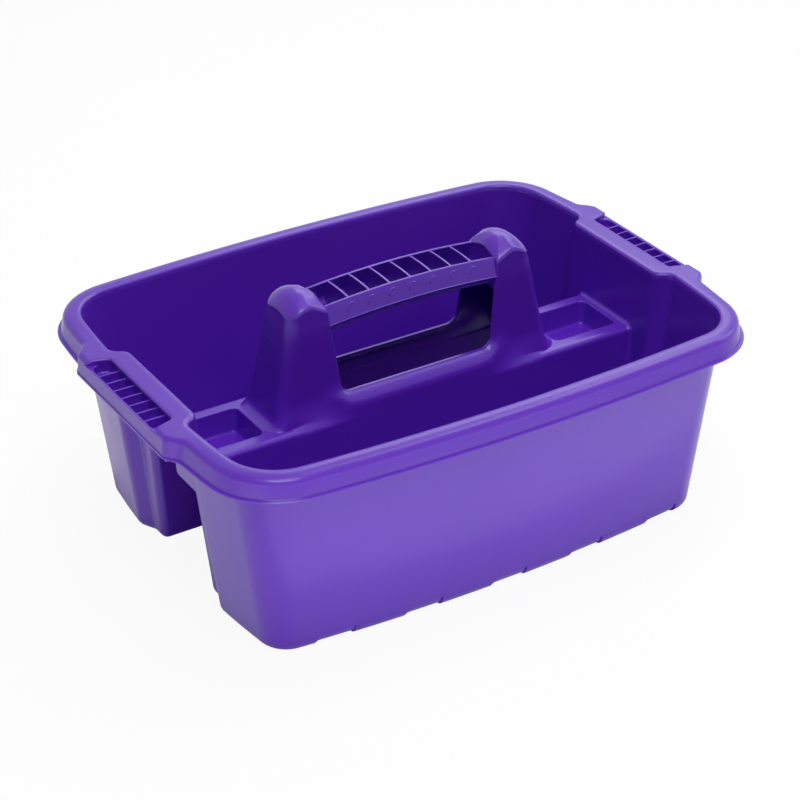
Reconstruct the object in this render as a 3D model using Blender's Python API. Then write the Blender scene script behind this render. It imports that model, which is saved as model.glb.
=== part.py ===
"""Grooming tray with two open bins, a carrying grip in the middle and a finger handle at each end.

Metres, +Z up. X runs along the grip, Y runs from the front bin (-Y) to the rear bin (+Y), and
Z = 0 is the face that the tray stands on. The real tray is one moulding; here it is divided at
its natural seams into closed solids that stay a hair apart.
"""
from math import atan2, cos, hypot, radians, sin, sqrt, tan

import bmesh
import bpy

# Moulding
WALL = 0.0025            # thickness of every main wall and floor
SEAM = 0.0003            # space left between neighbouring solids
FOOT_ROUND = 0.0070      # outside radius where a wall turns into the floor

# Rim
RIM_TOP = 0.1410         # height of the flat top
EDGE_X = 0.1815          # middle of the short sides, at the inner edge of the rim
EDGE_Y = 0.1335          # middle of the long sides, at the inner edge of the rim
LONG_BOW = 0.29          # how fast the long sides curve inward, per metre squared
SHORT_BOW = 0.52         # the same for the short sides
EDGE_CORNER = 0.0325     # corner radius at the inner edge
FLAT_WIDTH = 0.0090      # flat top, measured outward from the inner edge
TOP_ROUND = 0.0035       # round between the flat top and the skirt
CROWN_WIDTH = 0.0065     # inner part of the top, which falls gently toward the bins
CROWN_DROP = 0.0010
SKIRT_DEPTH = 0.0146     # from the flat top down to the lower face of the flange
SKIRT_LEAN = 0.0017      # how far the skirt leans outward on its way down
SKIRT_WALL = 0.0020
FLANGE_REACH = 0.0020    # how far the flange sticks out past the skirt
FLANGE_THICK = 0.0015

# Bins, measured on their inside faces at the base
BASE_X = 0.1658          # middle of the end wall, were it not for the finger recess
BASE_Y = 0.1220          # middle of the front wall
BASE_LONG_BOW = 0.38
BASE_SHORT_BOW = 0.63
BASE_CORNER = 0.0180
BASE_CHANNEL_Y = 0.0355  # inner face of the wall beside the channel
CHANNEL_LEAN = 0.068     # that wall's lean toward the middle, per metre of height

# Finger recess in both end walls
RECESS_TOP_X = 0.1703    # inside face at the rim
RECESS_BASE_X = 0.1582   # inside face at the base
RECESS_HALF = 0.0464     # half width of the recess
RECESS_RUN_TOP = 0.0050  # length along Y of the step out of the recess, at the rim
RECESS_RUN_BASE = 0.0110
RECESS_IN_ROUND = 0.0030 # rounds at the two edges of that step
RECESS_OUT_ROUND = 0.0060
STEP_ARC = 4             # steps in the arc of each of those rounds
CORNER_ARC = 9           # steps in the arc of a bin's corner
SIDE_SHARES = (0.22, 0.36, 0.50, 0.75)  # points between the recess and the corner

# Side handles
POCKET_IN_X = 0.1850     # face of the pocket beside the band
POCKET_OUT_X = 0.1976    # face of the pocket inside its outer wall
POCKET_HALF_IN = 0.0420  # half length at the band
POCKET_HALF_OUT = 0.0462 # half length at the outer wall
POCKET_DEPTH = 0.0095
POCKET_WALL = 0.0020
POCKET_ROUND = 0.0030
LEDGE_DROP = 0.0036      # how far the outer wall's top lies below the rim's
HANDLE_RIBS = 7
HANDLE_RIB_PITCH = 0.0104
HANDLE_RIB_THICK = 0.0013
SHOULDER_START = 0.0700  # where the rim starts to widen toward the handle
SHOULDER_FULL = 0.0575   # where it has its full width

# Divider between the bins
SHELF_TOP = 0.0945
SHELF_ROUND = 0.0040
SHELF_DEEP = 0.0062      # height of the rim that hangs from the shelf's edge
SHELF_IN_X = 0.1040      # end of the shelf under the post
WELL_IN_X = 0.1115
WELL_OUT_X = 0.1610
WELL_HALF = 0.0189
WELL_DEPTH = 0.0165
WELL_TAPER = 0.0012
WELL_ROUND = 0.0030
WELL_WALL = 0.0020
SILL_TOP = 0.1077        # lower edge of the window under the grip
SILL_HALF = 0.0210       # half width of the ridge at the sill
RIDGE_HALF_MID = 0.0289  # half width of the ridge where its shoulder starts
RIDGE_MID = 0.0970       # height where the shoulder starts
RIDGE_PLAIN_X = 0.0450   # where the ridge's side starts to turn into the post's
RIDGE_POST_X = 0.0750    # where it has become the post's
APRON_LOW = 0.0770       # lower edge of the end wall between the bins
APRON_NOTCH = 0.0065     # half width of the notch in that edge
APRON_NOTCH_TOP = 0.0900

# Posts and grip
WINDOW_X = 0.0570        # half width of the window at its widest low point
WINDOW_LEAN = 0.12       # lean of the window's sides, per metre of height
WINDOW_ROUND = 0.0080
POST_TOP_X = 0.0903      # outer face of a post at its top
POST_LEAN = 0.20         # lean of that face, per metre of height
POST_TOP_HALF = 0.0174   # half depth of a post at its top
POST_WAIST_HALF = 0.0184 # half depth at the grip's lower edge
POST_SIDE_LEAN = 0.070   # growth of the half depth below that, per metre
POST_CORNER = 0.0080
FLARE_TOP = 0.1120       # height where the posts start to flare into the ridge
FLARE_OUT = 0.0070       # how far the flare spreads along Y
FLARE_RUN = 0.0220
TOE_TOP = 0.1080         # height where the outer face starts to run out over the shelf
TOE_OUT = 0.0060
CAP_TOP = 0.1775         # overall height of the tray
CAP_DEEP = 0.0135        # from the cap's top down to the top of the post's body
CAP_RISE = 0.0090        # from the cap's inner edge up to its top
CAP_RUN_IN = 0.0135      # from that edge to the start of the cap's crest, along X
CAP_RUN_OUT = 0.0091     # from the post's outer face to the crest's other side
CAP_FALL = 0.0080        # how far the cap's sides draw in along Y at the crest
CAP_CURVE = ((0.00, 0.00, 0.07, 0.00), (0.28, 0.19, 0.15, 0.10), (0.56, 0.40, 0.33, 0.27),
             (0.78, 0.59, 0.54, 0.50), (0.92, 0.78, 0.74, 0.74), (1.00, 1.00, 1.00, 1.00))
GRIP_DROP = 0.0094       # from the cap's top down to the ends of the grip's rails
GRIP_DEEP = 0.0121       # height of the grip's side walls
GRIP_ARCH = 0.0032       # rise of the grip at its middle
GRIP_TOP_HALF = 0.0142
GRIP_LOW_HALF = 0.0183
GRIP_BELLY = 0.0092      # depth of the rounded belly below the side walls
GRIP_WALL = 0.0020
GRIP_RIBS = 7
GRIP_RIB_PITCH = 0.01524
GRIP_RIB_THICK = 0.0018

# Heights and levels that follow from the sizes above
PAN_TOP = FOOT_ROUND
PLATE_LOW = RIM_TOP - WALL
WALL_TOP = PLATE_LOW - SEAM
FLANGE_LOW = RIM_TOP - SKIRT_DEPTH
FLANGE_TOP = FLANGE_LOW + FLANGE_THICK
SHELF_LOW = SHELF_TOP - SHELF_DEEP
POST_TOP = CAP_TOP - CAP_DEEP
CAP_EDGE = CAP_TOP - CAP_RISE
GRIP_TOP = CAP_TOP - GRIP_DROP
GRIP_LOW = GRIP_TOP - GRIP_DEEP
POCKET_FLOOR = RIM_TOP - POCKET_DEPTH
POCKET_LOW = POCKET_FLOOR - POCKET_WALL
LEDGE_TOP = RIM_TOP - LEDGE_DROP
SKIRT_OUT = FLAT_WIDTH + TOP_ROUND

PURPLE = (0.128, 0.052, 0.46)
DEEP_PURPLE = (0.090, 0.033, 0.37)


def blend(a, b, share):
    return a + (b - a) * share


def smooth(share):
    """Ease from 0 to 1 with level ends."""
    share = min(max(share, 0.0), 1.0)
    return share * share * (3 - 2 * share)


def spread(first, last, count):
    """Evenly spaced values from first to last, both included."""
    return [blend(first, last, i / (count - 1)) for i in range(count)]


# Plan outlines

def grown(corners, out, closed):
    """Move a line of (x, y, radius, steps) corners outward, which is to the right of its run."""
    moved = []
    last = len(corners) - 1
    for i, (x, y, radius, steps) in enumerate(corners):
        before = corners[i - 1] if closed or i > 0 else None
        after = corners[(i + 1) % len(corners)] if closed or i < last else None
        runs = []
        if before:
            runs.append((x - before[0], y - before[1]))
        if after:
            runs.append((after[0] - x, after[1] - y))
        normals = [(dy / hypot(dx, dy), -dx / hypot(dx, dy)) for dx, dy in runs]
        if len(normals) == 1:
            nx, ny = normals[0]
            turn = 0.0
        else:
            (ax, ay), (bx, by) = normals
            share = 1 + ax * bx + ay * by
            nx, ny = (ax + bx) / share, (ay + by) / share
            turn = ax * by - ay * bx
        if radius:
            radius = max(radius + (out if turn > 0 else -out), 0.0006)
        moved.append((x + out * nx, y + out * ny, radius, steps))
    return moved


def rounded(corners, closed):
    """Replace each corner that has a radius by an arc of its number of steps."""
    points = []
    for i, (x, y, radius, steps) in enumerate(corners):
        if not radius:
            points.append((x, y))
            continue
        px, py = corners[i - 1][:2]
        qx, qy = corners[(i + 1) % len(corners)][:2]
        a = hypot(x - px, y - py)
        b = hypot(qx - x, qy - y)
        ux, uy = (x - px) / a, (y - py) / a
        vx, vy = (qx - x) / b, (qy - y) / b
        turn = atan2(ux * vy - uy * vx, ux * vx + uy * vy)
        reach = radius * tan(abs(turn) / 2)
        side = 1 if turn > 0 else -1
        cx = x - ux * reach - uy * radius * side
        cy = y - uy * reach + ux * radius * side
        start = atan2(y - uy * reach - cy, x - ux * reach - cx)
        for k in range(steps + 1):
            angle = start + turn * k / steps
            points.append((cx + radius * cos(angle), cy + radius * sin(angle)))
    return points


def channel_y(z):
    """Inside face of the bin wall beside the channel."""
    return BASE_CHANNEL_Y - CHANNEL_LEAN * z


def recess_x(z):
    """Inside face of the end wall within the finger recess."""
    return blend(RECESS_BASE_X, RECESS_TOP_X, z / RIM_TOP)


def bin_corners(z):
    """Inside face of a bin from its right channel corner round to its left one."""
    t = z / RIM_TOP
    end_x = blend(BASE_X, EDGE_X, t)
    front_y = blend(BASE_Y, EDGE_Y, t)
    long_bow = blend(BASE_LONG_BOW, LONG_BOW, t)
    short_bow = blend(BASE_SHORT_BOW, SHORT_BOW, t)
    corner = blend(BASE_CORNER, EDGE_CORNER, t)
    run = blend(RECESS_RUN_BASE, RECESS_RUN_TOP, t)
    x, y = end_x, front_y
    for _ in range(8):
        x = end_x - short_bow * y * y
        y = front_y - long_bow * x * x
    step_y = RECESS_HALF + run
    half = [(recess_x(z), RECESS_HALF, RECESS_IN_ROUND, STEP_ARC),
            (end_x - short_bow * step_y ** 2, step_y, RECESS_OUT_ROUND, STEP_ARC)]
    for share in SIDE_SHARES:
        side_y = blend(step_y, y - EDGE_CORNER, share)
        half.append((end_x - short_bow * side_y ** 2, side_y, 0, 0))
    half.append((x, y, corner, CORNER_ARC))
    reach = x - EDGE_CORNER
    bow = [(s * reach, front_y - long_bow * (s * reach) ** 2, 0, 0)
           for s in (0.98, 0.74, 0.5, 0.25, 0.0, -0.25, -0.5, -0.74, -0.98)]
    other = [(-px, py, r, n) for px, py, r, n in reversed(half)]
    return half + bow + other


# Mesh builders

def make(name, loops, colour=PURPLE, flip_y=False, flip_x=False):
    """One named solid, lofted through a row of closed loops and shut at both ends."""
    bm = bmesh.new()
    rows = [[bm.verts.new(point) for point in loop] for loop in loops]
    for near, far in zip(rows, rows[1:]):
        for i in range(len(near)):
            j = (i + 1) % len(near)
            bm.faces.new((near[i], near[j], far[j], far[i]))
    bm.faces.new(rows[0])
    bm.faces.new(rows[-1])
    for vert in bm.verts:
        if flip_y:
            vert.co.y = -vert.co.y
        if flip_x:
            vert.co.x = -vert.co.x
    bmesh.ops.recalc_face_normals(bm, faces=bm.faces)
    mesh = bpy.data.meshes.new(name)
    bm.to_mesh(mesh)
    bm.free()
    part = bpy.data.objects.new(name, mesh)
    bpy.context.scene.collection.objects.link(part)
    part.parent = bpy.data.objects["grooming_tray"]
    part.data.materials.append(plastic(name, colour))
    mesh.shade_smooth()
    mesh.set_sharp_from_angle(angle=radians(32))
    return part


def plastic(name, colour):
    material = bpy.data.materials.new(name + "_plastic")
    material.use_nodes = True
    shader = material.node_tree.nodes["Principled BSDF"]
    shader.inputs["Base Color"].default_value = (*colour, 1)
    shader.inputs["Roughness"].default_value = 0.38
    shader.inputs["Metallic"].default_value = 0.0
    return material


def flat(points, z):
    return [(x, y, z) for x, y in points]


# Bins

def bin_pan(name, flip_y):
    """Floor of a bin with its turned-up rounded edge."""
    inside_round = FOOT_ROUND - WALL
    turns = [radians(a) for a in (0, 25, 50, 70, 90)]

    def outline(z, out):
        corners = bin_corners(z)
        first = (recess_x(z), channel_y(z), 0.0030, 4)
        last = (-recess_x(z), channel_y(z), 0.0030, 4)
        return flat(rounded(grown([first] + corners + [last], out, True), True), z)

    loops = []
    for a in turns:
        loops.append(outline(FOOT_ROUND * (1 - cos(a)), WALL - FOOT_ROUND * (1 - sin(a))))
    for a in reversed(turns):
        loops.append(outline(WALL + inside_round * (1 - cos(a)), -inside_round * (1 - sin(a))))
    make(name, loops, flip_y=flip_y)


def bin_wall(name, flip_y):
    """Front and end walls of a bin as one C-shaped shell, with eased edges beside the channel."""
    low, high = PAN_TOP + SEAM, WALL_TOP
    ease = ((0.0, 0.35), (0.0007, 0.75), (0.0022, 1.0))

    def faces(z):
        corners = bin_corners(z)
        start = channel_y(z) - WALL
        inner = [(recess_x(z), start + dy, 0, 0) for dy, _ in ease]
        line = inner + corners + [(-x, y, r, n) for x, y, r, n in reversed(inner)]
        inside = rounded(line, False)
        outside = rounded(grown(line, WALL, False), False)
        for i, (_, share) in enumerate(ease):
            for k in (i, -1 - i):
                x, y = inside[k]
                outside[k] = (x + (outside[k][0] - x) * share, y)
        return inside, outside

    in_low, out_low = faces(low)
    in_high, out_high = faces(high)
    loops = []
    for i in range(len(in_low)):
        loops.append([(*out_low[i], low), (*out_high[i], high),
                      (*in_high[i], high), (*in_low[i], low)])
    make(name, loops, flip_y=flip_y)


def channel_wall(name, flip_y):
    """Leaning wall between a bin and the open channel under the divider."""
    loops = []
    for z in (PAN_TOP + SEAM, SHELF_LOW - SEAM):
        x, y = recess_x(z) - SEAM, channel_y(z)
        loops.append([(x, y - WALL, z), (x, y, z), (-x, y, z), (-x, y - WALL, z)])
    make(name, loops, flip_y=flip_y)


# Rim

def edge_line(out=0.0):
    """Plan of one bin's rim, from the right handle round the long side to the left one."""
    return grown(bin_corners(RIM_TOP), out, False)


def rim_section(inner, crown, middle, outer_at):
    """Closed section of the rim between an inner edge point and its outer side.

    crown is the plan point where the top becomes flat, middle lies on the plate's underside,
    and outer_at(reach) gives the plan point that lies that far outward.
    """
    round_points = []
    for a in (0, 30, 60, 90):
        reach = FLAT_WIDTH + TOP_ROUND * sin(radians(a))
        z = RIM_TOP - TOP_ROUND * (1 - cos(radians(a)))
        round_points.append((*outer_at(reach), z))
    low = SKIRT_OUT + SKIRT_LEAN
    flange = low + FLANGE_REACH
    half = (blend(inner[0], crown[0], 0.45), blend(inner[1], crown[1], 0.45))
    return ([(*inner, PLATE_LOW), (*inner, RIM_TOP - CROWN_DROP),
             (*half, RIM_TOP - 0.3 * CROWN_DROP), (*crown, RIM_TOP)] + round_points
            + [(*outer_at(low), FLANGE_TOP), (*outer_at(flange), FLANGE_TOP),
               (*outer_at(flange), FLANGE_LOW), (*outer_at(low - SKIRT_WALL), FLANGE_LOW),
               (*outer_at(SKIRT_OUT - SKIRT_WALL), PLATE_LOW), (*middle, PLATE_LOW)])


def nominal_stations(first, last):
    """Sections of the plain rim between two indices of its edge line."""
    reaches = {}

    def plan(out):
        if out not in reaches:
            reaches[out] = rounded(edge_line(out), False)
        return reaches[out]

    sections = []
    for i in range(first, last + 1):
        sections.append(rim_section(plan(0.0)[i], plan(CROWN_WIDTH)[i], plan(CROWN_WIDTH)[i],
                                    lambda reach, i=i: plan(reach)[i]))
    return sections


def make_rims():
    """Long runs, and corner pieces that widen into the shoulders of the side handles."""
    line = rounded(edge_line(), False)
    corner_start = 2 * (STEP_ARC + 1) + len(SIDE_SHARES)
    first_bow = corner_start + CORNER_ARC + 1
    long_run = nominal_stations(first_bow, len(line) - 1 - first_bow)
    shift = SEAM / 2

    def cut(section, toward):
        return [(x + toward, y, z) for x, y, z in section]

    long_run[0] = cut(long_run[0], -shift)
    long_run[-1] = cut(long_run[-1], shift)
    make("rear_rim", long_run)
    make("front_rim", long_run, flip_y=True)

    sections = shoulder_sections(line, corner_start)
    sections += nominal_stations(corner_start, first_bow)
    sections[-1] = cut(sections[-1], shift)
    for name, flip_x, flip_y in (("rear_right_rim_corner", False, False),
                                 ("rear_left_rim_corner", True, False),
                                 ("front_right_rim_corner", False, True),
                                 ("front_left_rim_corner", True, True)):
        make(name, sections, flip_x=flip_x, flip_y=flip_y)


def handle_outer(y, reach):
    """X of the widened rim beside a handle, for a reach measured as on the plain rim."""
    plain = EDGE_X - SHORT_BOW * y * y + reach
    full = POCKET_OUT_X + POCKET_WALL + (reach - SKIRT_OUT)
    if reach > SKIRT_OUT:
        lean = (reach - SKIRT_OUT) / (SKIRT_LEAN + FLANGE_REACH)
        full = POCKET_OUT_X + POCKET_WALL + 0.0013 * lean
    return blend(full, plain, smooth((y - SHOULDER_FULL) / (SHOULDER_START - SHOULDER_FULL)))


def pocket_end_y(x, out):
    """Y of the pocket's slanted end wall, or of a line that far outside it."""
    slope = (POCKET_HALF_OUT - POCKET_HALF_IN) / (POCKET_OUT_X - POCKET_IN_X)
    return POCKET_HALF_IN + slope * (x - POCKET_IN_X) + out * hypot(1, slope)


def shoulder_sections(line, corner_start):
    """Sections from the handle's end out to where the rim is plain."""
    clear = POCKET_WALL + SEAM
    start_x = recess_x(RIM_TOP)
    start_y = pocket_end_y(POCKET_IN_X, clear)
    end_x = POCKET_OUT_X + POCKET_WALL

    def seam_at(reach):
        x = handle_outer(start_y, reach)
        return x, pocket_end_y(x, clear)

    sections = [rim_section((start_x, start_y), (start_x + CROWN_WIDTH, start_y),
                            (POCKET_IN_X - POCKET_WALL, start_y), seam_at)]
    far = pocket_end_y(end_x, clear)
    for x, y in line[:corner_start]:
        far = max(y, far + 0.0012)
        middle = (blend(x, handle_outer(far, FLAT_WIDTH), 0.5), blend(y, far, 0.5))
        crown = (x + CROWN_WIDTH, blend(y, middle[1], CROWN_WIDTH / (middle[0] - x)))
        sections.append(rim_section((x, y), crown, middle,
                                    lambda reach, far=far: (handle_outer(far, reach), far)))
    return sections


# Side handles

def pocket_line(out, near, far):
    """Plan of the pocket, with its own radii for the corners near to and far from the bin."""
    corners = [(POCKET_IN_X, -POCKET_HALF_IN), (POCKET_OUT_X, -POCKET_HALF_OUT),
               (POCKET_OUT_X, POCKET_HALF_OUT), (POCKET_IN_X, POCKET_HALF_IN)]
    sharp = [(x, y, 0, 0) for x, y in corners]
    turns = (near, far, far, near)
    return rounded([(x, y, radius, 4) for (x, y, _, _), radius in
                    zip(grown(sharp, out, True), turns)], True)


def handle_pocket(name, flip_x):
    """Open pocket with a low outer wall."""
    def top(points):
        ledge = POCKET_OUT_X - POCKET_ROUND * 0.4
        return [(x, y, LEDGE_TOP if x > ledge else RIM_TOP) for x, y in points]

    outer = pocket_line(POCKET_WALL, 0.0006, 0.0006)
    inner = pocket_line(0.0, 0.5 * POCKET_ROUND, POCKET_ROUND)
    loops = [flat(outer, POCKET_LOW), top(outer), top(inner), flat(inner, POCKET_FLOOR)]
    make(name, loops, flip_x=flip_x)


def handle_ribs(name, flip_x):
    """Thin ribs across the pocket."""
    x0, x1 = POCKET_IN_X + SEAM, POCKET_OUT_X - SEAM
    low = POCKET_FLOOR + SEAM
    for k in range(HANDLE_RIBS):
        y = (k - (HANDLE_RIBS - 1) / 2) * HANDLE_RIB_PITCH
        loops = []
        for side in (y - HANDLE_RIB_THICK / 2, y + HANDLE_RIB_THICK / 2):
            loops.append([(x0, side, low), (x1, side, low),
                          (x1, side, LEDGE_TOP), (x0, side, LEDGE_TOP)])
        make(f"{name}_{k + 1}", loops, DEEP_PURPLE, flip_x=flip_x)


def handle_band(name, flip_x):
    """Flat band between the bin and the pocket."""
    x0, x1 = recess_x(RIM_TOP), POCKET_IN_X - POCKET_WALL - SEAM
    half = pocket_end_y(POCKET_IN_X, POCKET_WALL + SEAM) - SEAM
    profile = [(x0, PLATE_LOW), (x1, PLATE_LOW), (x1, RIM_TOP), (x0 + CROWN_WIDTH, RIM_TOP),
               (x0 + 0.45 * CROWN_WIDTH, RIM_TOP - 0.3 * CROWN_DROP), (x0, RIM_TOP - CROWN_DROP)]
    make(name, [[(x, y, z) for x, z in profile] for y in (-half, half)], flip_x=flip_x)


def handle_lip(name, flip_x):
    """Lip that carries the rim's flange along the underside of the pocket."""
    x1 = POCKET_OUT_X + POCKET_WALL
    half = POCKET_HALF_OUT + POCKET_WALL
    profile = [(x1 - POCKET_WALL, FLANGE_LOW), (x1 + 0.0013, FLANGE_LOW), (x1 + 0.0013, FLANGE_TOP),
               (x1, FLANGE_TOP), (x1, POCKET_LOW - SEAM), (x1 - POCKET_WALL, POCKET_LOW - SEAM)]
    make(name, [[(x, y, z) for x, z in profile] for y in (-half, half)], flip_x=flip_x)


# Divider

def end_apron(name, flip_x):
    """End wall that closes the divider between the two bins, notched below."""
    def side(z):
        return channel_y(z) - WALL - SEAM

    low = [(-side(APRON_LOW), APRON_LOW), (-APRON_NOTCH - 0.003, APRON_LOW),
           (-APRON_NOTCH - 0.0009, APRON_LOW + 0.0009), (-APRON_NOTCH, APRON_LOW + 0.003),
           (-APRON_NOTCH, APRON_NOTCH_TOP - 0.002), (-APRON_NOTCH + 0.002, APRON_NOTCH_TOP)]
    outline = low + [(-y, z) for y, z in reversed(low)]
    outline += [(side(WALL_TOP), WALL_TOP), (-side(WALL_TOP), WALL_TOP)]
    inner = [(recess_x(z), y, z) for y, z in outline]
    outer = [(recess_x(z) + WALL, y, z) for y, z in outline]
    make(name, [inner, outer], flip_x=flip_x)


def box_line(x0, x1, half, radius, out):
    corners = [(x0, -half, radius, 3), (x1, -half, radius, 3),
               (x1, half, radius, 3), (x0, half, radius, 3)]
    return rounded(grown(corners, out, True), True)


def shelf(name, flip_x):
    """Shelf at one end of the divider with its small well."""
    x0, x1 = SHELF_IN_X, recess_x(SHELF_LOW) - SEAM
    half = channel_y(SHELF_LOW)

    def well(z, out):
        return flat(box_line(WELL_IN_X, WELL_OUT_X, WELL_HALF, WELL_ROUND, out), z)

    def plate(z, edge, wall=0.0):
        return flat(box_line(x0 + wall, x1 - wall, half - edge, 0.0008, 0.0), z)

    floor = SHELF_TOP - WELL_DEPTH
    r = SHELF_ROUND
    loops = [well(floor, -WELL_TAPER - 0.0015), well(floor + 0.0015, -WELL_TAPER),
             well(SHELF_TOP - 0.0006, 0.0), well(SHELF_TOP, 0.0006)]
    for a in (0, 30, 60, 90):
        loops.append(plate(SHELF_TOP - r * (1 - cos(radians(a))), r * (1 - sin(radians(a)))))
    loops += [plate(SHELF_LOW, 0.0), plate(SHELF_LOW, WALL, WALL),
              plate(SHELF_TOP - WALL, r, WALL),
              well(SHELF_TOP - WALL, WELL_WALL),
              well(floor - WELL_WALL + 0.0015, WELL_WALL - WELL_TAPER),
              well(floor - WELL_WALL, WELL_WALL - WELL_TAPER - 0.0015)]
    make(name, loops, flip_x=flip_x)


def post_half(z):
    """Half depth of a post's outside at a height, with its flare into the ridge."""
    if z >= GRIP_LOW:
        return blend(POST_WAIST_HALF, POST_TOP_HALF, (z - GRIP_LOW) / (POST_TOP - GRIP_LOW))
    half = POST_WAIST_HALF + POST_SIDE_LEAN * (GRIP_LOW - z)
    if z < FLARE_TOP:
        half += FLARE_OUT * ((FLARE_TOP - z) / FLARE_RUN) ** 2
    return half


def ridge_half(z):
    """Half depth of the ridge between the posts, with its rounded shoulder."""
    if z <= RIDGE_MID:
        return blend(channel_y(SHELF_LOW), RIDGE_HALF_MID, (z - SHELF_LOW) / (RIDGE_MID - SHELF_LOW))
    rise = min(z, SILL_TOP) - RIDGE_MID
    full = (SILL_TOP - RIDGE_MID) * 1.05
    sag = 1 - sqrt(1 - (rise / full) ** 2)
    most = 1 - sqrt(1 - (1 / 1.05) ** 2)
    return RIDGE_HALF_MID - (RIDGE_HALF_MID - SILL_HALF) * sag / most


def divider_half(x, z):
    """Half depth of the divider's outside, blending the ridge into the posts."""
    share = smooth((abs(x) - RIDGE_PLAIN_X) / (RIDGE_POST_X - RIDGE_PLAIN_X))
    return min(blend(ridge_half(z), post_half(z), share), channel_y(SHELF_LOW))


def window_x(z):
    """Half width of the window under the grip, above its rounded lower corners."""
    return WINDOW_X + WINDOW_LEAN * (z - SILL_TOP - WINDOW_ROUND)


def ridge_wall(name, flip_y):
    """Side of the ridge: full length low down, up to the sill between the posts."""
    flat_half = WINDOW_X - WINDOW_ROUND
    step_x = WINDOW_X + 0.0001
    end_x = SHELF_IN_X - SEAM
    half_run = [(0.0, SILL_TOP), (0.5 * flat_half, SILL_TOP), (flat_half, SILL_TOP)]
    for a in (25, 50, 70, 90):
        half_run.append((flat_half + WINDOW_ROUND * sin(radians(a)),
                         SILL_TOP + WINDOW_ROUND * (1 - cos(radians(a)))))
    half_run += [(step_x, SHELF_TOP), (blend(step_x, end_x, 0.3), SHELF_TOP),
                 (blend(step_x, end_x, 0.6), SHELF_TOP), (end_x, SHELF_TOP)]
    run = [(-x, z) for x, z in reversed(half_run[1:])] + half_run
    sections = []
    for x, top in run:
        levels = [SHELF_LOW, blend(SHELF_LOW, SHELF_TOP, 0.5)]
        levels += spread(SHELF_TOP, min(top, SILL_TOP), 7) if top > SHELF_TOP else spread(
            blend(SHELF_LOW, SHELF_TOP, 0.6), SHELF_TOP, 7)
        levels[-1] = top
        outer, inner = [], []
        for z in levels:
            y = divider_half(x, z)
            slope = (divider_half(x, z) - divider_half(x, z - 0.0004)) / 0.0004
            length = hypot(1, slope)
            outer.append((x, y, z))
            inner.append((x, y - WALL / length, z + WALL * slope / length))
        inner[0] = (x, outer[0][1] - WALL, SHELF_LOW)
        sections.append(outer + inner[::-1])
    make(name, sections, flip_y=flip_y)


def post_x(z):
    """Outer face of a post, running out over the shelf at its foot."""
    x = POST_TOP_X + POST_LEAN * (POST_TOP - z)
    if z < TOE_TOP:
        x += TOE_OUT * ((TOE_TOP - z) / (TOE_TOP - SHELF_TOP)) ** 2
    return x


def post(name, flip_x):
    """Hollow post, open toward the window."""
    straight = SILL_TOP + WINDOW_ROUND
    levels = spread(SHELF_TOP + SEAM, straight, 6)
    levels += [blend(straight, GRIP_LOW, share) for share in (0.28, 0.65, 1.0)]
    levels.append(POST_TOP)

    def outline(z, out):
        x, half = post_x(z), post_half(z)
        start = window_x(max(z, straight)) + SEAM
        corners = [(start, -half, 0, 0), (x, -half, POST_CORNER, 6),
                   (x, half, POST_CORNER, 6), (start, half, 0, 0)]
        return rounded(grown(corners, out, False), False)

    outer = [outline(z, 0.0) for z in levels]
    inner = [outline(z, -WALL) for z in levels]
    sections = []
    for i in range(len(outer[0])):
        sections.append([(*outer[k][i], z) for k, z in enumerate(levels)]
                        + [(*inner[k][i], levels[k]) for k in reversed(range(len(levels)))])
    make(name, sections, flip_x=flip_x)


def post_inner_wall(name, flip_x):
    """Wall that ends the grip's last cell."""
    loops = []
    for z in (GRIP_LOW - GRIP_BELLY, GRIP_LOW, POST_TOP):
        x, half = window_x(z) + SEAM, post_half(z) - WALL - SEAM
        loops.append([(x, -half, z), (x + GRIP_WALL, -half, z),
                      (x + GRIP_WALL, half, z), (x, half, z)])
    make(name, loops, DEEP_PURPLE, flip_x=flip_x)


def post_cap(name, flip_x):
    """Domed cap of a post, steepest toward the grip."""
    inside = window_x(CAP_EDGE) + SEAM
    profile = [(POST_TOP + SEAM, inside, POST_TOP_X, POST_TOP_HALF)]
    for rise, inward, outward, fall in CAP_CURVE:
        profile.append((blend(CAP_EDGE, CAP_TOP, rise), inside + CAP_RUN_IN * inward,
                        POST_TOP_X - CAP_RUN_OUT * outward,
                        POST_TOP_HALF - 0.0004 - CAP_FALL * fall))

    def loop(z, x0, x1, half, wall):
        corner = min(POST_CORNER, 0.6 * (x1 - x0))
        corners = [(x0, -half, 0.0006, 2), (x1, -half, corner, 6),
                   (x1, half, corner, 6), (x0, half, 0.0006, 2)]
        return flat(rounded(grown(corners, -wall, True), True), z)

    loops = [loop(*level, 0.0) for level in profile]
    hollow = [loop(*level, WALL) for level in profile[:4]]
    hollow[-1] = [(x, y, CAP_TOP - 1.5 * WALL) for x, y, _ in hollow[-1]]
    make(name, loops[::-1] + hollow, flip_x=flip_x)


# Grip

def grip_profile(inset):
    """Half of the grip's section from the rail down to the middle of the belly, as (y, z)."""
    points = [(GRIP_TOP_HALF - inset, GRIP_TOP), (GRIP_LOW_HALF - inset, GRIP_LOW)]
    for a in (14, 32, 50, 70):
        points.append(((GRIP_LOW_HALF - 0.0004 - inset) * cos(radians(a)),
                       GRIP_LOW - (GRIP_BELLY - inset) * sin(radians(a))))
    points.append((0.0, GRIP_LOW - GRIP_BELLY + inset))
    return points


def full_profile(inset):
    half = grip_profile(inset)
    return half + [(-y, z) for y, z in reversed(half[:-1])]


def grip_trough():
    """Hollow grip, open on top, with an arched back and a rounded belly."""
    outer, inner = full_profile(0.0), full_profile(GRIP_WALL)
    sections = []
    for share in spread(-1, 1, 13):
        section = []
        for y, z in outer + inner[::-1]:
            end = window_x(z) - SEAM
            x = share * end
            section.append((x, y, z + GRIP_ARCH * (1 - share * share)))
        sections.append(section)
    make("grip_trough", sections)


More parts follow.
